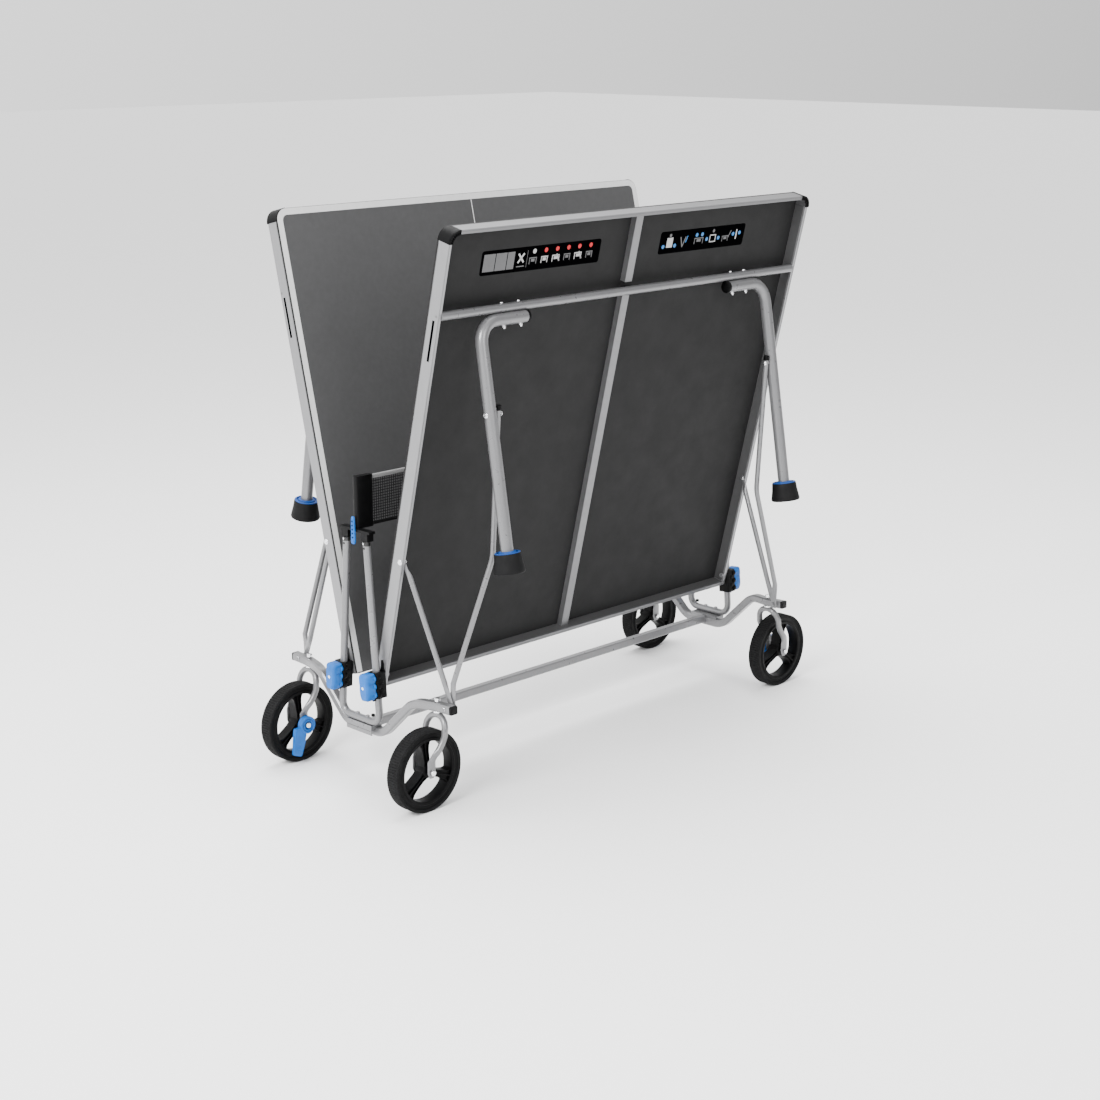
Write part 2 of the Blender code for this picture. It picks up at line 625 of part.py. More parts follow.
def build_links(name, side, world):
    """The arms to the apron and the braces to the legs, both on the frame's end bolts."""
    frame_face = FRAME_X - FRAME_WIDTH / 2
    arm_low = frame_face - RUNNING_GAP - FLAT / 2
    brace_low = arm_low - FLAT - RUNNING_GAP
    arm_high = HALF - RAIL - 2 * RUNNING_GAP - FLAT / 2
    tube_high = HALF - RAIL - 2 * RUNNING_GAP - ARM_RADIUS
    press = 0.025
    arm_length, arm_lean = length_and_lean(FRAME_BOLT, ARM_POINT)
    arm_axis = empty(name + "_arm_axis", (0, *FRAME_BOLT), (arm_lean, 0, 0), side)
    brace_length, brace_lean = length_and_lean(FRAME_BOLT, BRACE_POINT)
    brace_axis = empty(name + "_brace_axis", (0, *FRAME_BOLT), (brace_lean, 0, 0), side)
    for end in (-1, 1):
        label = label_of(end * world)
        hole = ((BOLT_HOLE, end * (FRAME_X - 0.05)), (BOLT_HOLE, end * (FRAME_X + 0.05)))

        stations = [(end * arm_low, 0, -FLAT_HALF_WIDTH), (end * arm_low, 0, FLAT_LENGTH),
                    (end * arm_low, 0, FLAT_LENGTH + press),
                    (end * tube_high, 0, arm_length - FLAT_LENGTH),
                    (end * arm_high, 0, arm_length - 0.5 * FLAT_LENGTH),
                    (end * arm_high, 0, arm_length + 0.0045),
                    (end * arm_high, 0, arm_length + 0.0075)]
        flat, tip = FLAT / 2 / ARM_RADIUS, 0.0075 / ARM_RADIUS
        scales = pressed_ends(stations, (0, 1))[:4] + [(tip, flat), (tip * 0.85, flat), (tip * 0.35, flat)]
        arm = piece(f"{name}_arm_{label}", swept(stations, circle(ARM_RADIUS, 12), (0, 1, 0), scales),
                    SILVER, arm_axis)
        cut(arm, turned(hole, 12, "X"))

        line = rounded_path([(end * brace_low, 0, FLAT_LENGTH + press), (end * BRACE_X, 0, BRACE_BEND),
                             (end * BRACE_X, 0, brace_length + 0.022)], 0.10, 3)
        stations = [(end * brace_low, 0, -FLAT_HALF_WIDTH), (end * brace_low, 0, FLAT_LENGTH)] + line
        brace = piece(f"{name}_brace_{label}", link(stations, (0, 1)), SILVER, brace_axis)
        cut(brace, turned(hole, 12, "X"))


def link(stations, flat_ends):
    """A round tube through its stations, pressed flat at those that are named."""
    return swept(stations, circle(ARM_RADIUS, 12), (0, 1, 0), pressed_ends(stations, flat_ends))


def slider(end, post_at):
    """A block round the post, its inner face next to the half's side rail."""
    low, high = HALF + RUNNING_GAP, POST_X + SLIDER_BACK
    outline = [(end * (low + high) / 2 + a, post_at + b)
               for a, b in rounded_box(high - low, 0.044, 0.006, 3)]
    return prism(outline, COLLAR_LOW, COLLAR_HIGH)


def build_carriage(name, side, world):
    """The sliders on the posts and the locking knobs on them."""
    axis = empty(name + "_slide_axis", (0, *SLIDER_POINT), (-POST_TILT, 0, 0), side)
    post_at = (-post_y(SLIDER_POINT.y) - SLIDER_POINT.x) * cos(POST_TILT)
    thick, wide, tall = KNOB
    face = POST_X + SLIDER_BACK + RUNNING_GAP
    outline = rounded_box(wide, tall, 0.012, 4)
    layers = ((0.002, face), (0.0, face + 0.004), (0.0, face + thick - 0.006), (0.005, face + thick))
    for end in (-1, 1):
        label = label_of(end * world)
        made = piece(f"{name}_slider_{label}", slider(end, post_at), BLACK, axis)
        pin = turned([(BOLT_HOLE, end * (HALF - 0.002)), (BOLT_HOLE, end * (HALF + 0.0070))], 12, "X")
        socket = turned([(0.0053, end * (POST_X + 0.008)), (0.0053, end * (POST_X + 0.03))], 12, "X")
        bore = turned([(POST_BORE, COLLAR_LOW - 0.01), (POST_BORE, COLLAR_HIGH + 0.01)], 16)
        bore = moved(bore, Matrix.Translation((end * POST_X, post_at, 0)))
        cut(made, joined([pin, bore]))
        cut(made, moved(socket, Matrix.Translation((0, post_at, KNOB_AXIS))))

        turn = empty(f"{name}_knob_{label}_axis", (0, post_at, KNOB_AXIS), parent=axis)
        rings = [[(end * x, a * (1 - 2 * inset / wide), b * (1 - 2 * inset / tall))
                  for a, b in outline] for inset, x in layers]
        knob = piece(f"{name}_knob_{label}", loft(rings), BLUE, turn)
        stem = ((0.005, end * (POST_X + POST_RADIUS + 0.0015)), (0.005, end * (face + 0.003)))
        weld(knob, turned(stem, 12, "X"))


# ---------------------------------------------------------------- assembly

def build():
    """The whole table."""
    for old in list(bpy.data.objects):
        bpy.data.objects.remove(old, do_unlink=True)
    build_chassis()
    build_net()
    for name, turn, world in (("near", 0.0, 1), ("far", pi, -1)):
        side = empty(name + "_side", rotation=(0, 0, turn))
        build_panel(name, side, world)
        build_legs(name, side, world)
        build_links(name, side, world)
        build_carriage(name, side, world)
        for end in (-1, 1):
            lift = LEVER_LIFT if name == "near" else 0.0
            build_caster(name + "_" + label_of(end * world), side, end, end > 0, lift)


build()
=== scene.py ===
"""Looks of the folding table-tennis table: finishes for the CAD nodes and the pieces they carry.

World axes are the CAD's: X along the net, Y across it, Z up, in metres.  Each half has its own
coordinates as well: x along the net, s from its net edge to its outer edge, d below the playing
face.  The far half is the near half turned by 180 degrees about Z.
"""

from math import atan2, cos, pi, radians, sin

import bmesh
import bpy
from mathutils import Matrix, Vector


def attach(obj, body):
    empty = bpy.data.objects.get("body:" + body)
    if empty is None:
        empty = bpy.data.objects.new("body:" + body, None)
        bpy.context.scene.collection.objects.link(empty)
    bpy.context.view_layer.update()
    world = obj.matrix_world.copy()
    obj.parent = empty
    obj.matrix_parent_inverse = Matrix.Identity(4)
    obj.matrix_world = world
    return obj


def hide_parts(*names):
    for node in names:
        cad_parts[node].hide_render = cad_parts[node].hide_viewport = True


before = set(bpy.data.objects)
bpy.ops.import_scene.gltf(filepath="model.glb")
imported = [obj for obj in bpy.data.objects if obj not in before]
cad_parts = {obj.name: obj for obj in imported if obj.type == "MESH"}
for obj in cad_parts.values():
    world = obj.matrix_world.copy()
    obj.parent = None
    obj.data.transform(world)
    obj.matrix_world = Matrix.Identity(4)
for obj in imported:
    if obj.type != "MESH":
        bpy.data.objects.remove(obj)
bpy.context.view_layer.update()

# The CAD's driving sizes that the pieces here are fitted to
HALF = 1.525 / 2
HALF_LENGTH = 1.370
BOARD = 0.006
APRON_DEPTH = 0.045
RAIL = 0.012
CORNER = 0.036
NET_CORNER = 0.006
RIB_WIDTH = 0.028
RIB_DEPTH = 0.019
FOLD_TILT = radians(13.29)
EDGE_Y = -0.0379
EDGE_Z = 0.3246
ARM_PIVOT = (0.397, 0.0365)
CROSS_PIVOT = (1.130, 0.0385)
SLIDER_PIVOT = (0.0336, 0.0357)
TUBE = 0.0125
LEG_RADIUS = 0.018
LEG_X = 0.611
LEG_INNER_X = 0.430
LEG_TILT = radians(9.5)
PLAY_HEIGHT = 0.765
LEG_LENGTH = PLAY_HEIGHT - CROSS_PIVOT[1]
FOOT_HEIGHT = 0.056
BRACE_X = 0.583
BRACE_ON_LEG = 0.2845
WHEEL_RADIUS = 0.122
TRAIL = 0.054
SWIVEL_X = 0.741
AXLE_X = SWIVEL_X + TRAIL
TYRE_WIDTH = 0.044
FORK_FLAT = 0.0344
KING_Y = 0.290
SPOKE_ANGLES = (97, -23, -143)
LEVER_LIFT = {"near_right": radians(65), "far_left": 0.0}
BOLT_Y = 0.331
BOLT_Z = 0.303
FRAME_END = 0.354
POST_X = 0.7825
POST_RADIUS = 0.011
KNOB_FACE = 0.8025
KNOB_AXIS = -0.0248
POST_TOP = 0.745
POST_TOP_Y = 0.0435
POST_DIP = 0.7335
POST_LEAN = 0.0774
NET_POST_INNER = 0.7237
NET_LEVER_X = 0.7945
HALVES = (("near", 1), ("far", -1))
ENDS = (("left", -1), ("right", 1))


# ---------------------------------------------------------------- shapes

def circle(radius, sides):
    return [(radius * cos(2 * pi * i / sides), radius * sin(2 * pi * i / sides)) for i in range(sides)]


def rounded_box(width, height, radius, steps=4):
    """Outline of a centred rectangle with round corners."""
    points = []
    for quarter in range(4):
        sign_a = 1 if quarter in (0, 3) else -1
        sign_b = 1 if quarter in (0, 1) else -1
        for i in range(steps + 1):
            angle = pi / 2 * (quarter + i / steps)
            points.append((sign_a * (width / 2 - radius) + radius * cos(angle),
                           sign_b * (height / 2 - radius) + radius * sin(angle)))
    return points


def loft(rings, closed=False):
    """A solid through rings of points, capped at both ends or closed on itself."""
    bm = bmesh.new()
    rows = [[bm.verts.new(point) for point in ring] for ring in rings]
    count = len(rows[0])
    spans = len(rows) if closed else len(rows) - 1
    for i in range(spans):
        row, following = rows[i], rows[(i + 1) % len(rows)]
        for j in range(count):
            k = (j + 1) % count
            bm.faces.new((row[j], row[k], following[k], following[j]))
    if not closed:
        bm.faces.new(rows[0][::-1])
        bm.faces.new(rows[-1])
    bmesh.ops.recalc_face_normals(bm, faces=bm.faces)
    return bm


def prism(outline, low, high, axis="Z"):
    """An outline in the other two axes, in X, Y, Z order, drawn out along one axis."""
    def point(a, b, level):
        return {"X": (level, a, b), "Y": (a, level, b), "Z": (a, b, level)}[axis]
    return loft([[point(a, b, level) for a, b in outline] for level in (low, high)])


def box(low, high):
    """A block between two opposite corners."""
    return prism([(low[0], low[1]), (high[0], low[1]), (high[0], high[1]), (low[0], high[1])],
                 low[2], high[2])


def turned(profile, sides=32, axis="Z", closed=False):
    """A solid of revolution from (radius, level) points."""
    def point(radius, level, angle):
        a, b = radius * cos(angle), radius * sin(angle)
        return {"X": (level, a, b), "Y": (a, level, b), "Z": (a, b, level)}[axis]
    return loft([[point(r, level, 2 * pi * i / sides) for i in range(sides)] for r, level in profile], closed)


def joined(parts):
    """Several solids as one mesh."""
    whole = bmesh.new()
    for part in parts:
        mesh = bpy.data.meshes.new("part")
        part.to_mesh(mesh)
        part.free()
        whole.from_mesh(mesh)
        bpy.data.meshes.remove(mesh)
    return whole


def moved(bm, matrix):
    bm.transform(matrix)
    return bm


def shifted(bm, x, y, z):
    return moved(bm, Matrix.Translation((x, y, z)))


# ---------------------------------------------------------------- materials

def map_range(tree, value, from_low, from_high, to_low, to_high):
    node = tree.nodes.new("ShaderNodeMapRange")
    for socket, level in (("From Min", from_low), ("From Max", from_high),
                          ("To Min", to_low), ("To Max", to_high)):
        node.inputs[socket].default_value = level
    tree.links.new(value, node.inputs["Value"])
    return node.outputs["Result"]


class Shader:
    """A Principled material whose nodes are added one call at a time."""

    def __init__(self, name, roughness=0.5, metallic=0.0, coat=0.0, shine=0.5):
        self.material = bpy.data.materials.new(name)
        self.material.use_nodes = True
        self.nodes = self.material.node_tree.nodes
        self.links = self.material.node_tree.links
        self.main = self.nodes["Principled BSDF"]
        for socket, level in (("Roughness", roughness), ("Metallic", metallic), ("Coat Weight", coat),
                              ("Coat Roughness", 0.25), ("Specular IOR Level", shine)):
            self.main.inputs[socket].default_value = level
        self.coordinates = self.nodes.new("ShaderNodeTexCoord")

    def mapped(self, scale=(1, 1, 1)):
        node = self.nodes.new("ShaderNodeMapping")
        node.inputs["Scale"].default_value = scale
        self.links.new(self.coordinates.outputs["Object"], node.inputs["Vector"])
        return node.outputs["Vector"]

    def noise(self, scale, detail=3.0, stretch=(1, 1, 1)):
        node = self.nodes.new("ShaderNodeTexNoise")
        node.inputs["Scale"].default_value = scale
        node.inputs["Detail"].default_value = detail
        self.links.new(self.mapped(stretch), node.inputs["Vector"])
        return node.outputs["Fac"]

    def cells(self, scale):
        node = self.nodes.new("ShaderNodeTexVoronoi")
        node.inputs["Scale"].default_value = scale
        self.links.new(self.mapped(), node.inputs["Vector"])
        return node.outputs["Distance"]

    def ramp(self, value, dark, light, low=0.3, high=0.7):
        node = self.nodes.new("ShaderNodeValToRGB")
        first, last = node.color_ramp.elements
        first.position, last.position = low, high
        first.color, last.color = (*dark, 1), (*light, 1)
        self.links.new(value, node.inputs["Fac"])
        return node.outputs["Color"]

    def remap(self, value, low, high):
        return map_range(self.material.node_tree, value, 0.3, 0.7, low, high)

    def colour(self, value):
        self.links.new(value, self.main.inputs["Base Color"])

    def roughness(self, value):
        self.links.new(value, self.main.inputs["Roughness"])

    def bump(self, value, strength, distance):
        node = self.nodes.new("ShaderNodeBump")
        node.inputs["Strength"].default_value = strength
        node.inputs["Distance"].default_value = distance
        self.links.new(value, node.inputs["Height"])
        previous = self.main.inputs["Normal"]
        if previous.is_linked:
            self.links.new(previous.links[0].from_socket, node.inputs["Normal"])
        self.links.new(node.outputs["Normal"], previous)


def tinted(colour, share):
    return tuple(min(1.0, c * share) for c in colour)


def powder_coat(name, colour):
    """Silver powder coat: orange peel, fine flakes and a slow drift of tone."""
    shader = Shader(name, metallic=0.45, coat=0.15)
    shader.colour(shader.ramp(shader.noise(420, 4), tinted(colour, 0.90), tinted(colour, 1.06)))
    shader.roughness(shader.remap(shader.noise(60, 3), 0.27, 0.33))
    shader.bump(shader.noise(900, 2), 0.10, 0.0004)
    return shader.material


def dipped_coat(name, colour, dip, level):
    """Silver powder coat with the tube's end dipped in another colour above a level."""
    material = powder_coat(name, colour)
    tree = material.node_tree
    nodes, links = tree.nodes, tree.links
    coat, metal = (nodes["Principled BSDF"].inputs[socket] for socket in ("Base Color", "Metallic"))
    place, split = nodes.new("ShaderNodeTexCoord"), nodes.new("ShaderNodeSeparateXYZ")
    above = nodes.new("ShaderNodeMath")
    above.operation = "GREATER_THAN"
    above.inputs[1].default_value = level
    links.new(place.outputs["Object"], split.inputs["Vector"])
    links.new(split.outputs["Z"], above.inputs[0])
    blend = nodes.new("ShaderNodeMixRGB")
    blend.inputs["Color2"].default_value = (*dip, 1)
    links.new(above.outputs["Value"], blend.inputs["Fac"])
    links.new(coat.links[0].from_socket, blend.inputs["Color1"])
    links.new(blend.outputs["Color"], coat)
    links.new(map_range(tree, above.outputs["Value"], 0.0, 1.0, metal.default_value, 0.0), metal)
    return material


def drawn_aluminium(name, colour, stretch, metallic=0.7):
    """Anodised profile with faint lines along its length."""
    shader = Shader(name, metallic=metallic)
    lines = shader.noise(60, 5, stretch)
    shader.colour(shader.ramp(lines, tinted(colour, 0.92), tinted(colour, 1.05)))
    shader.roughness(shader.remap(lines, 0.36, 0.50))
    shader.bump(shader.noise(700, 2), 0.10, 0.0003)
    return shader.material


def laminate(name, colour, roughness, shine):
    """Matt laminate sheet with a fine stipple and slight unevenness of tone."""
    shader = Shader(name, shine=shine)
    shader.colour(shader.ramp(shader.noise(60, 5), tinted(colour, 0.94), tinted(colour, 1.05)))
    shader.roughness(shader.remap(shader.noise(14, 4), roughness - 0.05, roughness + 0.06))
    shader.bump(shader.noise(1300, 2), 0.22, 0.0003)
    return shader.material


def moulded(name, colour, roughness=0.45, grain=1100, strength=0.18, shine=0.25):
    """Moulded plastic with a spark-eroded grain."""
    shader = Shader(name, shine=shine)
    shader.colour(shader.ramp(shader.noise(35, 4), tinted(colour, 0.88), tinted(colour, 1.10)))
    shader.roughness(shader.remap(shader.noise(60, 3), roughness - 0.07, roughness + 0.08))
    shader.bump(shader.cells(grain), strength, 0.0003)
    return shader.material


def tyre_rubber(name, colour):
    shader = Shader(name, shine=0.12)
    shader.colour(shader.ramp(shader.noise(28, 5), tinted(colour, 0.80), tinted(colour, 1.18)))
    shader.roughness(shader.remap(shader.noise(90, 3), 0.68, 0.88))
    shader.bump(shader.noise(800, 3), 0.30, 0.0004)
    return shader.material


def zinc(name):
    """Bright zinc plating with faint crystals and wear."""
    shader = Shader(name, metallic=1.0)
    shader.colour(shader.ramp(shader.cells(260), (0.84, 0.85, 0.87), (0.97, 0.97, 0.98), 0.1, 0.8))
    shader.roughness(shader.remap(shader.noise(220, 3), 0.18, 0.34))
    shader.bump(shader.noise(500, 2), 0.08, 0.0003)
    return shader.material


def line_paint(name, colour):
    shader = Shader(name)
    shader.colour(shader.ramp(shader.noise(40, 4), tinted(colour, 0.94), colour))
    shader.roughness(shader.remap(shader.noise(80, 3), 0.50, 0.64))
    shader.bump(shader.noise(1100, 2), 0.15, 0.0002)
    return shader.material


def cloth(name, colour, scale):
    """Plain weave: two sets of crossing threads."""
    shader = Shader(name, shine=0.15)
    threads = []
    for direction in ("X", "Z"):
        wave = shader.nodes.new("ShaderNodeTexWave")
        wave.bands_direction = direction
        wave.inputs["Scale"].default_value = scale
        wave.inputs["Distortion"].default_value = 0.4
        shader.links.new(shader.mapped(), wave.inputs["Vector"])
        threads.append(wave.outputs["Fac"])
    crossed = shader.nodes.new("ShaderNodeMath")
    crossed.operation = "MULTIPLY"
    for i, thread in enumerate(threads):
        shader.links.new(thread, crossed.inputs[i])
    shader.colour(shader.ramp(crossed.outputs["Value"], tinted(colour, 0.75), tinted(colour, 1.05), 0.0, 0.8))
    shader.roughness(shader.remap(shader.noise(120, 3), 0.79, 0.91))
    shader.bump(crossed.outputs["Value"], 0.4, 0.0004)
    return shader.material


SILVER = powder_coat("silver_powder_coat", (0.175, 0.175, 0.180))
POST = dipped_coat("post_coat", (0.175, 0.175, 0.180), (0.0030, 0.0030, 0.0032), POST_DIP)
# One drawn aluminium for all rails, painted lighter on the side rails and darker on the net and outer rails:
# painted light and shade.
APRON_SIDE_PAINTED_LIGHT = drawn_aluminium("apron_side_painted_light", (0.27, 0.27, 0.277), (14, 14, 0.4))
APRON_LONG_PAINTED_SHADE = drawn_aluminium("apron_long_painted_shade", (0.165, 0.165, 0.170), (0.4, 14, 14))
RIB = drawn_aluminium("rib_cover", (0.20, 0.20, 0.205), (14, 14, 0.4))
# Painted shade: a dark, non-metal copy of the drawn aluminium for the apron's hollow inside and its grooves.
APRON_SHADE = drawn_aluminium("apron_painted_shade", (0.055, 0.055, 0.056), (0.4, 14, 14), metallic=0.0)
UNDERSIDE = laminate("underside_laminate", (0.0135, 0.0135, 0.0137), 0.62, 0.12)
PLAY = laminate("playing_laminate", (0.050, 0.050, 0.051), 0.50, 0.35)
BLACK = moulded("black_moulding", (0.0018, 0.0018, 0.0020), 0.46, 1100, 0.18, 0.08)
FINE_BLACK = moulded("black_gloss_moulding", (0.0018, 0.0018, 0.002), 0.42, 1600, 0.08, 0.12)
RUBBER = moulded("foot_rubber", (0.0045, 0.0045, 0.0048), 0.60, 900, 0.20, 0.12)
TYRE = tyre_rubber("tyre_rubber", (0.0060, 0.0060, 0.0063))
BLUE = moulded("blue_moulding", (0.003, 0.102, 0.390), 0.40, 1300, 0.12, 0.25)
DEEP_BLUE = moulded("deep_blue_moulding", (0.004, 0.050, 0.230), 0.45, 1300, 0.12)
ZINC = zinc("zinc_plate")
LINE = line_paint("white_line", (0.58, 0.58, 0.58))
TAPE = cloth("net_tape", (0.27, 0.27, 0.27), 420)
MESH = cloth("net_mesh", (0.008, 0.008, 0.0085), 600)
CORD = cloth("net_cord", (0.0018, 0.0018, 0.002), 500)
LABEL = moulded("label_film", (0.0008, 0.0008, 0.001), 0.60, 1800, 0.05, 0.0)
LABEL_GREY = line_paint("label_grey", (0.085, 0.085, 0.088))
LABEL_WHITE = line_paint("label_white", (0.42, 0.42, 0.42))
LABEL_RED = line_paint("label_red", (0.50, 0.002, 0.006))
LABEL_BLUE = line_paint("label_blue", (0.02, 0.17, 0.45))
MARKS = {"white": LABEL_WHITE, "grey": LABEL_GREY, "red": LABEL_RED, "blue": LABEL_BLUE}


# ---------------------------------------------------------------- pieces

def piece(name, bm, look, body, bevel=0.0):
    """A new piece in world coordinates that rides on a body."""
    mesh = bpy.data.meshes.new(name)
    bm.to_mesh(mesh)
    bm.free()
    mesh.shade_smooth()
    mesh.set_sharp_from_angle(angle=radians(35))
    made = bpy.data.objects.new(name, mesh)
    mesh.materials.append(look)
    bpy.context.collection.objects.link(made)
    if bevel:
        rounding = made.modifiers.new("rounding", "BEVEL")
        rounding.width = bevel
        rounding.segments = 2
        rounding.limit_method = "ANGLE"
        rounding.angle_limit = radians(40)
    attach(made, body)
    return made


def mirrored(bm, axis):
    """The mirror image of a solid across the plane through the origin."""
    bm.transform(Matrix.Scale(-1, 4, axis))
    bmesh.ops.reverse_faces(bm, faces=bm.faces)
    return bm


def on_top(half, sign, name, parts, look, bevel=0.0):
    """A piece of one half's top, from solids in that half's own coordinates."""
    return piece(f"{half}_{name}", moved(joined(parts), top_matrix(sign)), look, half + "_top", bevel)


def turn_of(sign):
    """The near half stays, the far half turns by 180 degrees about Z."""
    return Matrix.Identity(4) if sign > 0 else Matrix.Rotation(pi, 4, "Z")


def top_matrix(sign):
    """From (x, s, d) of a half to the world."""
    tilt = Matrix(((1, 0, 0, 0),
                   (0, -sin(FOLD_TILT), -cos(FOLD_TILT), EDGE_Y),
                   (0, cos(FOLD_TILT), -sin(FOLD_TILT), EDGE_Z),
                   (0, 0, 0, 1)))
    return turn_of(sign) @ tilt


def fold_point(s, d):
    """(y, z) of a point of the near half."""
    return Vector((EDGE_Y - s * sin(FOLD_TILT) - d * cos(FOLD_TILT),
                   EDGE_Z + s * cos(FOLD_TILT) - d * sin(FOLD_TILT)))


def leg_matrix(sign):
    """From the legs' own axes, with the cross tube at the origin, to the world."""
    y, z = fold_point(*CROSS_PIVOT)
    return turn_of(sign) @ Matrix.Translation((0, y, z)) @ Matrix.Rotation(-LEG_TILT, 4, "X")


def world_label(x_sign, sign):
    return "left" if x_sign * sign < 0 else "right"


def smooth_shading():
    """A modifier that welds a node's facets and shades them smooth up to 32 degrees."""
    group = bpy.data.node_groups.new("smooth_facets", "GeometryNodeTree")
    group.interface.new_socket("Geometry", in_out="INPUT", socket_type="NodeSocketGeometry")
    group.interface.new_socket("Geometry", in_out="OUTPUT", socket_type="NodeSocketGeometry")
    start, end = group.nodes.new("NodeGroupInput"), group.nodes.new("NodeGroupOutput")
    weld = group.nodes.new("GeometryNodeMergeByDistance")
    weld.inputs["Distance"].default_value = 0.00002
    faces = group.nodes.new("GeometryNodeSetShadeSmooth")
    edges = group.nodes.new("GeometryNodeSetShadeSmooth")
    edges.domain = "EDGE"
    edges.inputs["Shade Smooth"].default_value = False
    angle = group.nodes.new("GeometryNodeInputMeshEdgeAngle")
    sharp = group.nodes.new("FunctionNodeCompare")
    sharp.operation = "GREATER_THAN"
    sharp.inputs[1].default_value = radians(32)
    group.links.new(start.outputs[0], weld.inputs["Geometry"])
    group.links.new(weld.outputs[0], faces.inputs["Geometry"])
    group.links.new(faces.outputs[0], edges.inputs["Geometry"])
    group.links.new(angle.outputs["Unsigned Angle"], sharp.inputs[0])
    group.links.new(sharp.outputs[0], edges.inputs["Selection"])
    group.links.new(edges.outputs[0], end.inputs[0])
    return group


def dress_nodes():
    """A finish for every CAD node that stays."""
    smoothing = smooth_shading()
    looks = (("_board", UNDERSIDE), ("_side_rail", APRON_SIDE_PAINTED_LIGHT), ("_net_rail", APRON_LONG_PAINTED_SHADE),
             ("_outer_rail", APRON_LONG_PAINTED_SHADE), ("_foot_", RUBBER), ("_rim", BLACK), ("_tyre", TYRE),
             ("_slider_", BLACK), ("_knob_", BLUE), ("brake_lever", BLUE), ("net_lever", BLUE),
             ("net_post", FINE_BLACK), ("post_tube", POST), ("net", MESH))
    for name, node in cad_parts.items():
        look = next((look for key, look in looks if key in name), SILVER)
        node.data.materials.clear()
        node.data.materials.append(look)
        modifier = node.modifiers.new("smooth", "NODES")
        modifier.node_group = smoothing


# ---------------------------------------------------------------- tops

def arc_points(centre, radius, first, last, steps):
    return [(centre[0] + radius * cos(first + (last - first) * i / steps),
             centre[1] + radius * sin(first + (last - first) * i / steps)) for i in range(steps + 1)]


def board_outline(inset):
    """Outline of a board as (x, s), drawn in by inset."""
    outer = CORNER - inset
    net = NET_CORNER - inset
    x, s = HALF - CORNER, HALF_LENGTH - CORNER
    nx, ns = HALF - NET_CORNER, NET_CORNER
    return (arc_points((x, s), outer, 0, pi / 2, 10) + arc_points((-x, s), outer, pi / 2, pi, 10)
            + arc_points((-nx, ns), net, pi, 1.5 * pi, 4) + arc_points((nx, ns), net, 1.5 * pi, 2 * pi, 4))


def build_playing_face(half, sign):
    """The top sheet with its painted lines."""
    sheet = prism(board_outline(0.0004), -0.0004, 0.0004)
    on_top(half, sign, "playing_face", [sheet], PLAY)

    inset, start, width = 0.0012, 0.004, 0.020
    low, high = -0.0008, -0.0003
    net_corners = 10
    edge = HALF - inset
    outer = [(edge, start)] + board_outline(inset)[:-net_corners] + [(-edge, start)]
    x, s, bend = HALF - width, HALF_LENGTH - width, 0.018
    inner = ([(x, start)] + arc_points((x - bend, s - bend), bend, 0, pi / 2, 10)
             + arc_points((bend - x, s - bend), bend, pi / 2, pi, 10) + [(-x, start)])
    bm = bmesh.new()
    rings = [[bm.verts.new((x, s, d)) for x, s in line] for line in (outer, inner) for d in (low, high)]
    outer_low, outer_high, inner_low, inner_high = rings
    for i in range(len(outer) - 1):
        for a, b in ((outer_low, inner_low), (inner_low, inner_high), (inner_high, outer_high),
                     (outer_high, outer_low)):
            bm.faces.new((a[i], a[i + 1], b[i + 1], b[i]))
    for i in (0, len(outer) - 1):
        bm.faces.new((outer_low[i], inner_low[i], inner_high[i], outer_high[i]))
    bmesh.ops.recalc_face_normals(bm, faces=bm.faces)
    centre = box((-0.0013, start, low), (0.0013, s + 0.001, high))
    on_top(half, sign, "lines", [bm, centre], LINE)


def build_rib_cover(half, sign):
    """The folded strip over the middle rib, stopping short of the cross tube, with two grooves."""
    proud, depth = 0.0006, BOARD + RIB_DEPTH
    w = RIB_WIDTH / 2 + proud
    tube = CROSS_PIVOT[0]
    parts = []
    for low, high in ((RAIL + 0.0008, tube - 0.0195), (tube + 0.0215, HALF_LENGTH - RAIL - 0.0008)):
        parts.append(box((-w, low, BOARD), (w, high, depth + proud)))
        for x in (-0.0075, 0.0075):
            parts.append(box((x - 0.0006, low + 0.001, depth + proud - 0.0001),
                             (x + 0.0006, high - 0.001, depth + 0.001)))
    on_top(half, sign, "rib_cover", parts, RIB, bevel=0.0008)


def build_apron_painted_shade(half, sign):
    """Painted shade in the apron profile: a dark skin where its hollow inside lies in shade, and dark strips
    for the shade in fine grooves along its faces.
    """
    low, high, skin, overlap = BOARD + 0.0004, APRON_DEPTH - 0.0060, 0.0006, 0.0001
    x, s_end = HALF - RAIL, HALF_LENGTH - RAIL
    walls = [box((-x + 0.002, RAIL - overlap, low), (x - 0.002, RAIL + skin, high)),
             box((-x + 0.024, s_end - skin, low), (x - 0.024, s_end + overlap, high))]
    for side in (-1, 1):
        walls.append(box((side * (x + overlap), RAIL + 0.002, low), (side * (x - skin), s_end - 0.024, high)))
    on_top(half, sign, "apron_inner_shade", walls, APRON_SHADE)

    # Painted shade: dark strips for the grooves at the lip and along the outer faces.
    edge, tip = APRON_DEPTH - 0.0002, APRON_DEPTH + 0.0002
    start, inner, outer = 0.010, 0.0048, 0.0040
    upper, lower, proud = 0.0070, 0.0078, 0.0002
    x, s_end = HALF - CORNER - 0.006, HALF_LENGTH - CORNER - 0.006
    grooves = [box((-HALF + start, outer, edge), (HALF - start, inner, tip)),
               box((-x, HALF_LENGTH - inner, edge), (x, HALF_LENGTH - outer, tip)),
               box((-x, HALF_LENGTH - proud, upper), (x, HALF_LENGTH + proud, lower))]
    for side in (-1, 1):
        grooves.append(box((side * (HALF - outer), start, edge), (side * (HALF - inner), s_end, tip)))
        grooves.append(box((side * (HALF - proud), start, upper), (side * (HALF + proud), s_end, lower)))
    on_top(half, sign, "apron_groove_shade", grooves, APRON_SHADE)


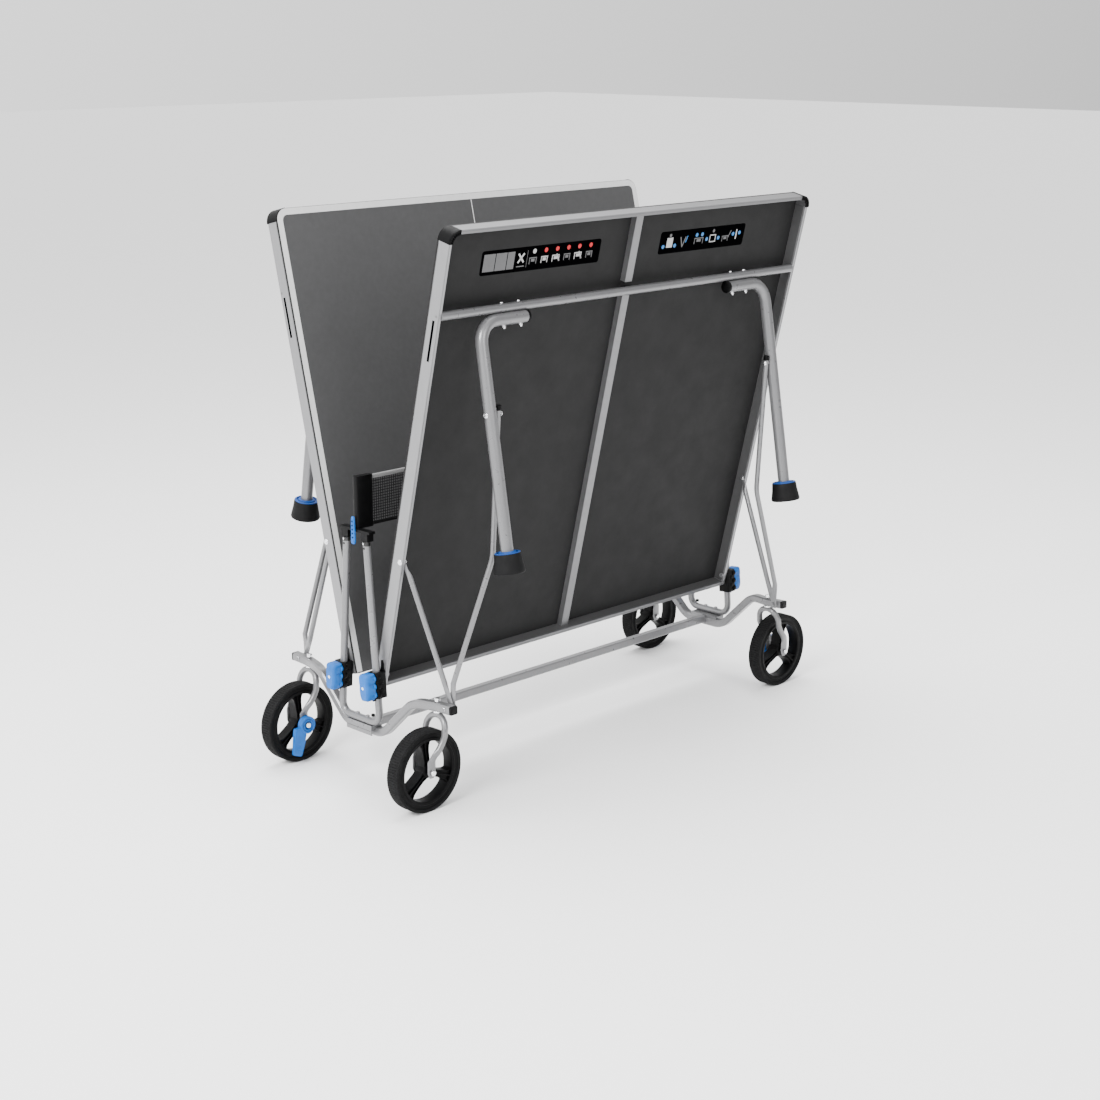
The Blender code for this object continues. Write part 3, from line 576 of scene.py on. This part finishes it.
def build_corner_caps(half, sign):
    """Black covers on the two outer corners, with ribs underneath."""
    centre = (HALF - CORNER, HALF_LENGTH - CORNER)
    inside, outside = CORNER - RAIL - 0.0010, CORNER + 0.0012
    first, last = -radians(1.0), pi / 2 + radians(1.0)
    low, plate, rim = 0.0008, APRON_DEPTH + 0.0007, APRON_DEPTH + 0.0036

    def shell(radius, other, base, top):
        outer, inner = (arc_points(centre, r, first, last, 18) for r in (radius, other))
        return prism(outer + inner[::-1], base, top)

    for x_sign in (-1, 1):
        parts = [shell(outside, CORNER + 0.0002, low, rim),
                 shell(outside, inside, APRON_DEPTH + 0.0001, plate),
                 shell(inside + 0.0015, inside, APRON_DEPTH, rim),
                 shell(outside, outside - 0.0045, APRON_DEPTH, rim)]
        ribs = 8
        for i in range(ribs):
            angle = first + (last - first) * i / (ribs - 1)
            rib = box((inside, -0.0006, plate - 0.0001), (outside, 0.0006, rim))
            parts.append(moved(rib, Matrix.Translation((*centre, 0)) @ Matrix.Rotation(angle, 4, "Z")))
        cap = joined(parts)
        if x_sign < 0:
            cap = mirrored(cap, (1, 0, 0))
        on_top(half, sign, "corner_cap_" + world_label(x_sign, sign), [cap], BLACK)


class Label:
    """A dark film on the underside between two (x, s) corners, and the marks printed on it."""

    def __init__(self, low, high):
        self.left = low[0]
        self.middle = (low[1] + high[1]) / 2
        film = prism(rounded_box(high[0] - low[0], high[1] - low[1], 0.008), BOARD - 0.0001, BOARD + 0.0004)
        self.film = shifted(film, (low[0] + high[0]) / 2, self.middle, 0)
        self.marks = {"white": [], "grey": []}

    def add(self, colour, mark, x, s):
        self.marks.setdefault(colour, []).append(shifted(mark, self.left + x, self.middle + s, BOARD))

    def bar(self, colour, x, s, width, height, turn=0.0):
        w, h = width / 2, height / 2
        mark = prism([(-w, -h), (w, -h), (w, h), (-w, h)], 0.0003, 0.0007)
        self.add(colour, moved(mark, Matrix.Rotation(turn, 4, "Z")), x, s)

    def disc(self, colour, x, s, radius):
        self.add(colour, turned(((radius, 0.0003), (radius, 0.0007)), 18), x, s)

    def table(self, colour, x, s, width, height):
        """A table seen from the end: its top, its legs and a block between them."""
        self.bar(colour, x, s + height / 2, width, 0.0030)
        for side in (-1, 1):
            self.bar(colour, x + side * (width / 2 - 0.002), s, 0.0026, height)
        self.bar(colour, x, s + height * 0.1, width * 0.45, height * 0.45)


def mark_steps(label):
    """Three blocks of rules, a crossed pair of tools and six tables under dots."""
    for first, last in ((0.009, 0.052), (0.055, 0.096), (0.099, 0.126)):
        label.bar("grey", (first + last) / 2, 0.000, last - first, 0.050)
    for turn in (-0.7, 0.7):
        label.bar("white", 0.152, 0.004, 0.0055, 0.034, turn)
    label.bar("grey", 0.152, -0.020, 0.030, 0.003)
    label.bar("grey", 0.1755, 0.0, 0.0012, 0.050)
    for i, x in enumerate((0.199, 0.244, 0.289, 0.334, 0.378, 0.424)):
        label.disc("red" if i else "white", x + 0.003, 0.0200, 0.0068)
        label.table("grey" if i in (0, 3, 5) else "white", x, -0.008, 0.030 - 0.003 * (i % 2), 0.018)
        if i in (2, 4):
            label.bar("white", x + 0.009, -0.006, 0.004, 0.024, 0.5)


def mark_folding(label):
    """A row of small table, frame and folding signs with coloured dots."""
    label.bar("white", 0.045, -0.001, 0.026, 0.030)
    for x, s in ((0.018, -0.012), (0.070, -0.012), (0.165, 0.014), (0.190, 0.014), (0.214, -0.003),
                 (0.268, -0.003), (0.336, 0.004), (0.366, 0.006)):
        label.disc("blue", x, s, 0.0060)
    for x in (0.045, 0.241):
        label.disc("grey", x, 0.0210, 0.0052)
    for x, turn in ((0.098, 0.35), (0.110, -0.35)):
        label.bar("grey", x, -0.003, 0.004, 0.034, turn)
    label.bar("blue", 0.120, 0.004, 0.003, 0.022, -0.35)
    label.table("grey", 0.177, -0.006, 0.042, 0.018)
    for s in (-0.013, 0.008):
        label.bar("white", 0.241, s, 0.026, 0.003)
    for x in (0.2285, 0.2535):
        label.bar("white", x, -0.0025, 0.003, 0.024)
    label.table("grey", 0.300, -0.008, 0.030, 0.016)
    label.bar("grey", 0.318, 0.003, 0.003, 0.030, -0.45)
    label.bar("white", 0.351, 0.002, 0.005, 0.030)


def build_labels(half, sign):
    """The two printed films below the outer edge of one half."""
    for name, low, high, marks in (("wide", (-0.595, 1.2170), (-0.127, 1.2875), mark_steps),
                                   ("narrow", (0.130, 1.2170), (0.519, 1.2860), mark_folding)):
        label = Label(low, high)
        on_top(half, sign, "label_" + name, [label.film], LABEL)
        marks(label)
        for colour, parts in label.marks.items():
            on_top(half, sign, f"label_{name}_{colour}_marks", parts, MARKS[colour])


def bolt_head(radius, height, sides=6, washer=0.0):
    """A bolt head, on a washer if it has one, pointing along +Z from the origin."""
    parts = []
    base = 0.0009 if washer else 0.0
    if washer:
        parts.append(turned(((washer, 0), (washer, base)), 24))
    dome = [(radius, base), (radius, base + height * 0.7), (radius * 0.86, base + height)]
    parts.append(turned(dome, sides))
    return joined(parts)


def aimed(bm, axis, sign):
    """Turns a +Z fitting to point along sign times the X or the Y axis."""
    turn = {"X": Matrix.Rotation(sign * pi / 2, 4, "Y"), "Y": Matrix.Rotation(-sign * pi / 2, 4, "X")}[axis]
    return moved(bm, turn)


def build_top_fittings(half, sign):
    """Pivot bolts in the side rails and a dark stripe on their outer faces."""
    parts = []
    for x_sign in (-1, 1):
        head = aimed(bolt_head(0.0062, 0.0030, 20, 0.0085), "X", x_sign)
        parts.append(shifted(head, x_sign * HALF, *ARM_PIVOT))
        nut = aimed(bolt_head(0.0065, 0.0045, 6), "X", -x_sign)
        parts.append(shifted(nut, x_sign * (HALF - RAIL - 0.0052), *ARM_PIVOT))
    on_top(half, sign, "rail_bolts", parts, ZINC, bevel=0.0006)
    stripes = [box((x_sign * HALF - 0.0003, 0.9995, 0.0260), (x_sign * HALF + 0.0003, 1.1165, 0.0345))
               for x_sign in (-1, 1)]
    on_top(half, sign, "stripes", stripes, LABEL)


# ---------------------------------------------------------------- legs, arms and braces

def build_leg_fittings(half, sign):
    """Screws, rings, plugs and feet of one half's legs."""
    place = leg_matrix(sign)
    body = half + "_legs"
    screws, ankle = [], -(LEG_LENGTH - FOOT_HEIGHT)
    bottom = -(TUBE + 2 * LEG_RADIUS)
    for x_sign in (-1, 1):
        for x in (0.456, 0.5205):
            head = shifted(bolt_head(0.0052, 0.0036, 20, 0.0068), x_sign * x, 0, TUBE - 0.0006)
            tip = turned(((0.0030, bottom - 0.009), (0.0034, bottom - 0.008), (0.0034, bottom + 0.002)), 14)
            nut = turned(((0.0056, bottom - 0.0050), (0.0056, bottom + 0.0008)), 6)
            screws += [head, shifted(tip, x_sign * x, 0, 0), shifted(nut, x_sign * x, 0, 0)]
        down = -BRACE_ON_LEG
        ends = (BRACE_X - 0.010, LEG_X - LEG_RADIUS + 0.002)
        shank = turned([(0.0038, x_sign * x) for x in ends], 14, "X")
        screws.append(shifted(shank, 0, 0, down))
        for facing, x in ((-x_sign, BRACE_X - 0.0078), (x_sign, LEG_X + LEG_RADIUS - 0.0008)):
            head = aimed(bolt_head(0.0065, 0.0042, 20, 0.0085), "X", facing)
            screws.append(shifted(head, x_sign * x, 0, down))

        label = world_label(x_sign, sign)
        section = ((LEG_RADIUS + 0.0004, -0.0040), (0.0345, -0.0040), (0.0366, 0.0006), (0.0366, 0.0028),
                   (0.0352, 0.0036), (0.0315, 0.0034), (0.0305, -0.0005), (0.0262, -0.0005), (0.0250, 0.0040),
                   (0.0225, 0.0058), (LEG_RADIUS + 0.0004, 0.0060))
        ring = turned([(r, ankle + z) for r, z in section], 48, closed=True)
        piece(f"{half}_foot_ring_{label}", moved(shifted(ring, x_sign * LEG_X, 0, 0), place), DEEP_BLUE, body)

        foot = turned(foot_profile(ankle), 56)
        made = piece(f"{half}_foot_sleeve_{label}", moved(shifted(foot, x_sign * LEG_X, 0, 0), place), RUBBER,
                     body)
        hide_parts(f"{half}_foot_{label}")

        drop = -(TUBE + LEG_RADIUS + 0.0003)
        plug = turned(((LEG_RADIUS * 0.86, x_sign * (LEG_INNER_X - 0.0030)),
                       (LEG_RADIUS + 0.0008, x_sign * (LEG_INNER_X - 0.0010)),
                       (LEG_RADIUS + 0.0008, x_sign * (LEG_INNER_X + 0.0060))), 32, "X")
        piece(f"{half}_leg_plug_{label}", moved(shifted(plug, 0, 0, drop), place), BLACK, body)
    piece(half + "_leg_screws", moved(joined(screws), place), ZINC, body, bevel=0.0005)


def foot_profile(ankle):
    """A soft sleeve with a rolled upper edge, closed round the leg's lower end."""
    base = -LEG_LENGTH
    return [(LEG_RADIUS + 0.0010, ankle - 0.0045), (0.0335, ankle - 0.0045), (0.0345, ankle + 0.0005),
            (0.0372, ankle + 0.0008), (0.0382, ankle - 0.0010), (0.0400, ankle - 0.0195),
            (0.0418, ankle - 0.0306), (0.0446, base + 0.0085), (0.0450, base + 0.0050),
            (0.0440, base + 0.0015), (0.0420, base)]


def build_brace_caps(half, sign):
    """Black caps on the braces' free ends."""
    parts = []
    foot = Vector((-BOLT_Y, BOLT_Z))
    on_leg = fold_point(*CROSS_PIVOT) + BRACE_ON_LEG * Vector((-sin(LEG_TILT), -cos(LEG_TILT)))
    line = on_leg - foot
    lean = atan2(-line.x, line.y)
    place = turn_of(sign) @ Matrix.Translation((0, *foot)) @ Matrix.Rotation(lean, 4, "X")
    for x_sign in (-1, 1):
        end = line.length + 0.022
        cap = turned(((0.0091, end - 0.012), (0.0091, end + 0.0006), (0.0078, end + 0.0020)), 28)
        parts.append(shifted(cap, x_sign * BRACE_X, 0, 0))
    piece(half + "_brace_caps", moved(joined(parts), place), BLACK, half + "_braces")


# ---------------------------------------------------------------- casters

def build_rim(name, centre, facing, body, node):
    """A three-spoke moulding: outer channel, spokes with a raised rib, and a hub with tapered ends."""
    half = 0.019
    ring = ((0.0900, -half), (0.0925, -half - 0.0012), (0.0990, -half - 0.0012), (0.1005, -half + 0.0010),
            (0.1085, -half + 0.0010), (0.1112, -half - 0.0004), (0.1118, -half + 0.002),
            (0.1118, half - 0.002), (0.1112, half + 0.0004), (0.1085, half - 0.0010),
            (0.1005, half - 0.0010), (0.0990, half + 0.0012), (0.0925, half + 0.0012), (0.0900, half),
            (0.0885, half * 0.5), (0.0885, -half * 0.5))
    hub = ((0.0165, -0.0195), (0.0190, -0.0180), (0.0205, -0.009), (0.0205, 0.009), (0.0190, 0.0180),
           (0.0165, 0.0195))
    parts = [turned(ring, 96, "Y", closed=True), turned(hub, 48, "Y")]
    for angle in SPOKE_ANGLES:
        reach = 0.0905
        flare = [(0.014, 0.0125), (0.030, 0.0100), (0.062, 0.0112), (0.078, 0.0145), (reach, 0.0225)]
        web = prism([(a, -b) for a, b in flare] + flare[::-1], -0.011, 0.011, "Y")
        rib = box((0.014, -half * 0.95, -0.0016), (reach, half * 0.95, 0.0016))
        walls = []
        for side in (-1, 1):
            edge = [(a, side * b) for a, b in ((0.014, 0.0108), (0.030, 0.0083), (0.062, 0.0095),
                                               (0.078, 0.0125), (reach, 0.0200))]
            outer = [(a, b + side * 0.0022) for a, b in edge]
            walls.append(prism(edge + outer[::-1], -half * 0.92, half * 0.92, "Y"))
        turn = Matrix.Rotation(-radians(angle), 4, "Y")
        parts += [moved(part, turn) for part in [web, rib] + walls]
    rim = moved(joined(parts), Matrix.Translation(centre) @ facing)
    made = piece(name, rim, BLACK, body, bevel=0.0007)
    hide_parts(node)


def build_tread(name, centre, body, node):
    """A ribbed tyre: shallow cross ribs with a groove between each pair."""
    ribs, per_rib, depth = 96, 4, 0.0020
    sides = ribs * per_rib
    outer = WHEEL_RADIUS
    half = TYRE_WIDTH / 2
    side = ((0.1122, half - 0.0022, 0), (0.1145, half - 0.0010, 0), (0.1180, half, 0),
            (outer - 0.0020, half, 0), (outer - 0.0004, half - 0.0010, 0.6), (outer, half - 0.0026, 1))
    profile = [(r, -y, ribbed) for r, y, ribbed in side] + [(outer, 0.0, 1)] + list(reversed(side))
    rings = []
    for r, y, ribbed in profile:
        ring = []
        for i in range(sides):
            angle = 2 * pi * i / sides
            groove = 0 if i % per_rib else depth * ribbed
            ring.append(((r - groove) * cos(angle), y, (r - groove) * sin(angle)))
        rings.append(ring)
    made = piece(name, moved(loft(rings, closed=True), Matrix.Translation(centre)), TYRE, body)
    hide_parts(node)


def build_brake(name, centre, facing, lift, body, node):
    """A foot lever: a boss with a sunk, ringed face and a cranked arm, raised by lift; the ring's groove
    floor carries painted shade.
    """
    low = FORK_FLAT + 0.0005
    high = low + 0.0190
    boss = ((0.0052, low), (0.0258, low), (0.0267, low + 0.0010), (0.0267, high - 0.0012), (0.0255, high),
            (0.0208, high), (0.0200, high - 0.0018), (0.0172, high - 0.0018), (0.0164, high), (0.0140, high),
            (0.0133, high - 0.0008), (0.0133, high - 0.0060), (0.0052, high - 0.0060))
    parts = [turned(boss, 56, "Y", closed=True)]
    arm = [(-0.0048, -0.018), (-0.0050, -0.034), (-0.0075, -0.050), (-0.0165, -0.076), (-0.0232, -0.093),
           (-0.0265, -0.0952), (-0.0500, -0.0868), (-0.0520, -0.0835), (-0.0500, -0.062), (-0.0475, -0.036),
           (-0.0450, -0.012), (-0.0425, -0.0050), (-0.0200, -0.0040)]
    parts.append(prism(arm, low + 0.0006, low + 0.0125, "Y"))
    shoulder = [(-0.0050, -0.016), (-0.0060, -0.0335), (-0.0400, -0.0300), (-0.0425, -0.0065),
                (-0.0200, -0.0030)]
    parts.append(prism(shoulder, low + 0.0008, low + 0.0152, "Y"))
    for step in range(4):
        x, z = -0.0300 - 0.0020 * step, -0.0800 + 0.0085 * step
        parts.append(prism([(x - 0.0105, z + 0.0046), (x + 0.0105, z - 0.0030), (x + 0.0110, z - 0.0012),
                            (x - 0.0100, z + 0.0064)], low + 0.0120, low + 0.0132, "Y"))
    lever = mirrored(joined(parts), (0, 1, 0))
    place = Matrix.Translation(centre) @ facing @ Matrix.Rotation(lift, 4, "Y")
    made = piece(name, moved(lever, place), BLUE, body, bevel=0.0008)
    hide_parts(node)
    # Painted shade: a darker blue ring on the floor of the boss's ring groove.
    dark = turned(((0.0168, high - 0.0022), (0.0204, high - 0.0022), (0.0204, high - 0.0016),
                   (0.0168, high - 0.0016)), 48, "Y", closed=True)
    piece(name + "_ring", moved(mirrored(dark, (0, 1, 0)), place), DEEP_BLUE, body)


def build_fork_fittings(caster, sign, world, facing, braked):
    """Bright king sleeve and axle bolt heads of one fork."""
    parts = [turned(((0.0104, 0.2815), (0.0118, 0.2822), (0.0118, 0.2868), (0.0104, 0.2874)), 32),
             turned(((0.0092, 0.3152), (0.0092, 0.3225), (0.0080, 0.3246)), 6)]
    for side in (-1, 1):
        proud = FORK_FLAT + (0.0184 if braked and side < 0 else 0.0046)
        head = aimed(bolt_head(0.0082, 0.0034, 6 if side > 0 else 24), "Y", side)
        parts.append(shifted(head, -TRAIL, side * proud, WHEEL_RADIUS))
    place = Matrix.Translation((world * SWIVEL_X, -sign * KING_Y, 0)) @ facing
    piece(caster + "_fork_bolts", moved(joined(parts), place), ZINC, caster + "_swivel",
          bevel=0.0007)


def build_casters():
    for half, sign in HALVES:
        for label, world in ENDS:
            caster = f"{half}_{label}"
            centre = (world * AXLE_X, -sign * KING_Y, WHEEL_RADIUS)
            facing = Matrix.Identity(4) if world < 0 else Matrix.Rotation(pi, 4, "Z")
            build_rim(caster + "_wheel_rim", centre, facing, caster + "_wheel", caster + "_rim")
            build_tread(caster + "_tread", centre, caster + "_wheel", caster + "_tyre")
            braked = caster in LEVER_LIFT
            if braked:
                build_brake(caster + "_brake_pedal", centre, facing, LEVER_LIFT[caster], caster + "_brake",
                            caster + "_brake_lever")
            build_fork_fittings(caster, sign, world, facing, braked)


# ---------------------------------------------------------------- sliders and knobs

def post_y(z):
    """Distance of a post's axis from the middle plane at a height."""
    return POST_TOP_Y + (POST_TOP - z) * POST_LEAN


def carriage_matrix(sign):
    """From a carriage's own axes, Z up its posts, to the world."""
    y, z = fold_point(*SLIDER_PIVOT)
    return turn_of(sign) @ Matrix.Translation((0, y, z)) @ Matrix.Rotation(-atan2(POST_LEAN, 1.0), 4, "X")


def build_carriage_fittings(half, sign):
    """Locking knobs and the sliders' fins, lobes and studs."""
    place = carriage_matrix(sign)
    y, z = fold_point(*SLIDER_PIVOT)
    at = (-post_y(z) - y) * cos(atan2(POST_LEAN, 1.0))

    def ride(name, parts, look, body, bevel=0.0):
        return piece(f"{half}_{name}", moved(joined(parts), place), look, f"{half}_{body}", bevel)

    for x_sign in (-1, 1):
        label = world_label(x_sign, sign)
        knob_body = "knob_" + label
        layers = ((0.0016, 0.0004), (0.0, 0.0030), (0.0, 0.0270), (0.0022, 0.0320), (0.0060, 0.0350))
        rings = [[(x_sign * (KNOB_FACE + x), at + a * (1 - inset / 0.0195),
                   KNOB_AXIS + b * (1 - inset / 0.040)) for a, b in knob_outline()] for inset, x in layers]
        lobe = ((0.0082, 0.0), (0.0092, 0.0012), (0.0092, 0.0062), (0.0080, 0.0075))
        lobes = [shifted(turned([(r, x_sign * (KNOB_FACE + x)) for r, x in lobe], 24, "X"),
                         0, at + side * 0.0135, KNOB_AXIS + rise)
                 for side in (-1, 1) for rise in (-0.024, 0.0, 0.024)]
        ends = (POST_X + POST_RADIUS + 0.0015, KNOB_FACE + 0.003)
        stem = turned([(0.0050, x_sign * x) for x in ends], 16, "X")
        grip = [loft(rings), shifted(stem, 0, at, KNOB_AXIS)] + lobes
        made = ride("knob_grip_" + label, grip, BLUE, knob_body, 0.0010)
        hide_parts(f"{half}_knob_{label}")
        screw = aimed(bolt_head(0.0046, 0.0012, 20), "X", x_sign)
        screw = shifted(screw, x_sign * (KNOB_FACE + 0.0346), at, KNOB_AXIS)
        ride("knob_screw_" + label, [screw], ZINC, knob_body)
        # Painted shade: thin dark-blue strips tucked under the step at the top of the waist on each side.
        ledge_shades = [box((x_sign * (KNOB_FACE + 0.0105), at + side * 0.0194 - 0.0004, KNOB_AXIS + 0.0095),
                     (x_sign * (KNOB_FACE + 0.0235), at + side * 0.0194 + 0.0004, KNOB_AXIS + 0.0108))
                 for side in (-1, 1)]
        ride("knob_seam_" + label, ledge_shades, DEEP_BLUE, knob_body)

        fin = [(-0.0105, 0.010), (-0.0050, 0.0225), (-0.0060, 0.034), (-0.0020, 0.046), (0.0030, 0.046),
               (0.0050, 0.030), (0.0100, 0.012)]
        fin = [(at - 0.009 + a, b) for a, b in fin]
        trim = [prism(fin, x_sign * (HALF + 0.0012), x_sign * (HALF + 0.0050), "X")]
        lobe = ((0.0098, -0.0060), (0.0105, -0.0050), (0.0105, 0.0050), (0.0098, 0.0060))
        stud = ((0.0072, 0.0215), (0.0072, 0.0236), (0.0058, 0.0244))
        for side in (-1, 1):
            for rise in (-0.026, 0.0, 0.026):
                trim.append(shifted(turned(lobe, 28, "X"), x_sign * (POST_X + 0.0120), at + side * 0.0160,
                                    KNOB_AXIS + rise))
            for rise in (-0.013, 0.013):
                trim.append(shifted(turned([(r, side * b) for r, b in stud], 24, "Y"), x_sign * POST_X, at,
                                    KNOB_AXIS + rise))
        ride("slider_trim_" + label, trim, BLACK, "carriage", 0.0010)


def knob_outline():
    """A tall grip: full at its upper corners, cut away below, with a shallow waist down each side."""
    side = [(0.0135, 0.0400), (0.0180, 0.0365), (0.0195, 0.0300), (0.0195, 0.0155), (0.0182, 0.0105),
            (0.0182, 0.0025), (0.0195, -0.0040), (0.0195, -0.0175), (0.0175, -0.0265), (0.0140, -0.0358),
            (0.0095, -0.0400)]
    return [(-a, b) for a, b in reversed(side)] + side


# ---------------------------------------------------------------- chassis and net

def post_spot(world, side, across, z, radius):
    """A round plug in a post's outer wall, following the tube's curve within the slider's bore."""
    rings = []
    for reach in (POST_RADIUS - 0.0004, POST_RADIUS + 0.0003):
        ring = []
        for a, b in circle(radius, 20):
            y = across + a
            x = POST_X + (reach ** 2 - y ** 2) ** 0.5
            ring.append((world * x, side * post_y(z + b) + y, z + b))
        rings.append(ring)
    return loft(rings)


def build_chassis_fittings():
    """Plugs, stop pins, screws and pivot heads that stay with the frame."""
    black, bright, dull = [], [], []
    outer = POST_X + POST_RADIUS
    for world in (-1, 1):
        for side in (-1, 1):
            end = side * FRAME_END
            for width, height, radius, start, stop in ((0.0276, 0.0246, 0.004, -0.0005, 0.0058),
                                                       (0.0165, 0.0135, 0.003, 0.0050, 0.0070)):
                plug = prism(rounded_box(width, height, radius), end + side * start, end + side * stop, "Y")
                black.append(shifted(plug, world * SWIVEL_X, 0, BOLT_Z + 0.0001))
            black.append(post_spot(world, side, 0.0, 0.7265, 0.0036))
            bright.append(post_spot(world, side, -world * 0.0030, 0.7395, 0.0034))
            pin = turned(((0.0042, world * (outer - 0.001)), (0.0042, world * (outer + 0.0085)),
                          (0.0029, world * (outer + 0.0091))), 18, "X")
            black.append(shifted(pin, 0, side * post_y(0.2807), 0.2807))
            head = turned(((0.0068, world * (SWIVEL_X + 0.0138)), (0.0068, world * (SWIVEL_X + 0.0158)),
                           (0.0048, world * (SWIVEL_X + 0.0176))), 24, "X")
            bright.append(shifted(head, 0, side * BOLT_Y, BOLT_Z))
        for y in (-0.029, 0.016):
            head = turned(((0.0068, 0), (0.0066, 0.0030), (0.0044, 0.0052)), 20)
            dull.append(shifted(head, world * POST_X, y, 0.2135))
        stop_screw = turned(((0.0058, 0), (0.0058, 0.0060), (0.0044, 0.0070)), 20)
        black.append(shifted(stop_screw, world * POST_X, world * 0.0545, 0.2215))
        slot = [(world * -0.127 + a, 0.2255 + b) for a, b in rounded_box(0.011, 0.0055, 0.0026)]
        black.append(prism(slot, world * 0.7640, world * 0.7694, "X"))
        black.append(box((world * 0.7921, -0.0525, 0.1752), (world * 0.7928, 0.0525, 0.1764)))
    piece("frame_plugs", joined(black), FINE_BLACK, "chassis", bevel=0.0006)
    piece("frame_bolts", joined(bright), ZINC, "chassis")
    piece("saddle_screws", joined(dull), SILVER, "chassis")


def build_net():
    """The woven net, its tape and its lower cord, stretched between the posts."""
    reach = NET_POST_INNER - 0.0008
    low, high = 0.7860, 0.9130
    pitch, wide, thick = 0.0083, 0.00106, 0.0005
    strands = []
    columns = int(2 * reach / pitch)
    for i in range(columns + 1):
        x = -reach + wide + (2 * reach - 2 * wide) * i / columns
        strands.append(box((x - wide, -thick, low), (x + wide, thick, high + 0.004)))
    rows = int((high - low) / pitch)
    for i in range(1, rows + 1):
        z = low + (high - low) * i / (rows + 1)
        strands.append(box((-reach, -thick * 0.9, z - wide), (reach, thick * 0.9, z + wide)))
    net = piece("net_weave", joined(strands), MESH, "chassis")
    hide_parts("net")

    def band(name, look, centre, width, height, radius):
        section = [(a, centre + b) for a, b in rounded_box(width, height, radius, 3)]
        return piece(name, prism(section, -reach, reach, "X"), look, "chassis")

    tape = band("net_top_tape", TAPE, 0.9195, 0.0048, 0.0130, 0.0022)
    cord = band("net_lower_cord", CORD, 0.7820, 0.0058, 0.0098, 0.0024)


def build_net_levers():
    """Blue levers on the net posts, with a row of holes."""
    side = [(0.0055, -0.0120), (0.0078, -0.0070), (0.0076, 0.0100), (0.0062, 0.0550), (0.0048, 0.0650),
            (0.0020, 0.0685)]
    blade = side + [(-a, b) for a, b in reversed(side)]
    ridge = [(-0.0040, -0.007), (0.0040, -0.007), (0.0032, 0.060), (-0.0032, 0.060)]
    pivot = 0.745
    for label, world in ENDS:
        lever = joined([prism(blade, -world * 0.0030, world * 0.0022, "X"),
                        prism(ridge, world * 0.0020, world * 0.0030, "X")])
        made = piece("net_lever_blade_" + label, shifted(lever, world * NET_LEVER_X, 0, pivot), BLUE,
                     "net_lever_" + label, bevel=0.0008)
        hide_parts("net_lever_" + label)
        dot = ((0.0028, 0), (0.0028, world * 0.0010))
        dots = [shifted(turned(dot, 16, "X"), world * (NET_LEVER_X + 0.0027), 0, pivot + 0.007 + 0.0118 * i)
                for i in range(5)]
        piece("net_lever_holes_" + label, joined(dots), BLACK, "net_lever_" + label)


# ---------------------------------------------------------------- studio

def area_light(name, location, target, size, power):
    light = bpy.data.lights.new(name, "AREA")
    light.shape = "RECTANGLE"
    light.size, light.size_y = size
    light.energy = power
    made = bpy.data.objects.new(name, light)
    made.location = location
    aim = Vector(target) - Vector(location)
    made.rotation_euler = aim.to_track_quat("-Z", "Y").to_euler()
    bpy.context.collection.objects.link(made)


def build_studio():
    floor_mesh = bpy.data.meshes.new("floor")
    floor_shape = bmesh.new()
    bmesh.ops.create_grid(floor_shape, x_segments=1, y_segments=1, size=40)
    floor_shape.to_mesh(floor_mesh)
    floor_shape.free()
    floor = bpy.data.objects.new("floor", floor_mesh)
    floor.location.z = -0.0002
    shader = Shader("pale_floor", roughness=0.9)
    shader.main.inputs["Base Color"].default_value = (0.95, 0.95, 0.95, 1)
    floor_mesh.materials.append(shader.material)
    bpy.context.collection.objects.link(floor)

    world = bpy.data.worlds.new("studio")
    world.use_nodes = True
    nodes, links = world.node_tree.nodes, world.node_tree.links
    direction = nodes.new("ShaderNodeTexCoord")
    along = nodes.new("ShaderNodeVectorMath")
    along.operation = "DOT_PRODUCT"
    along.inputs[1].default_value = (-0.76, 0.56, 0.33)
    links.new(direction.outputs["Generated"], along.inputs[0])
    strength = map_range(world.node_tree, along.outputs["Value"], -1.0, 1.0, 0.12, 2.75)
    links.new(strength, nodes["Background"].inputs["Strength"])
    nodes["Background"].inputs["Color"].default_value = (1, 1, 1, 1)
    bpy.context.scene.world = world

    area_light("key", (-5.2, -1.2, 4.4), (0, 0, 0.8), (2.2, 2.2), 420)
    area_light("front", (-1.0, -5.5, 3.4), (0, 0, 0.7), (2.6, 2.6), 130)
    area_light("overhead", (0.3, 0.6, 5.2), (0, 0, 0.6), (4.0, 4.0), 420)


def build_camera():
    azimuth, elevation, roll = radians(-45.006), radians(14.9125), radians(-0.06)
    lens = bpy.data.cameras.new("camera")
    lens.sensor_width = 36.0
    lens.lens = 65.4
    lens.clip_start, lens.clip_end = 0.1, 200.0
    camera = bpy.data.objects.new("camera", lens)
    back = Vector((sin(azimuth) * cos(elevation), -cos(azimuth) * cos(elevation), sin(elevation)))
    camera.location = (-4.3097, -4.3103, 2.1875)
    camera.rotation_mode = "QUATERNION"
    twist = Matrix.Rotation(roll, 3, "Z").to_quaternion()
    camera.rotation_quaternion = (-back).to_track_quat("-Z", "Y") @ twist
    bpy.context.collection.objects.link(camera)
    bpy.context.scene.camera = camera


dress_nodes()
for half, sign in HALVES:
    build_playing_face(half, sign)
    build_rib_cover(half, sign)
    build_apron_painted_shade(half, sign)
    build_corner_caps(half, sign)
    build_labels(half, sign)
    build_top_fittings(half, sign)
    build_leg_fittings(half, sign)
    build_brace_caps(half, sign)
    build_carriage_fittings(half, sign)
build_casters()
build_chassis_fittings()
build_net()
build_net_levers()
build_studio()
build_camera()
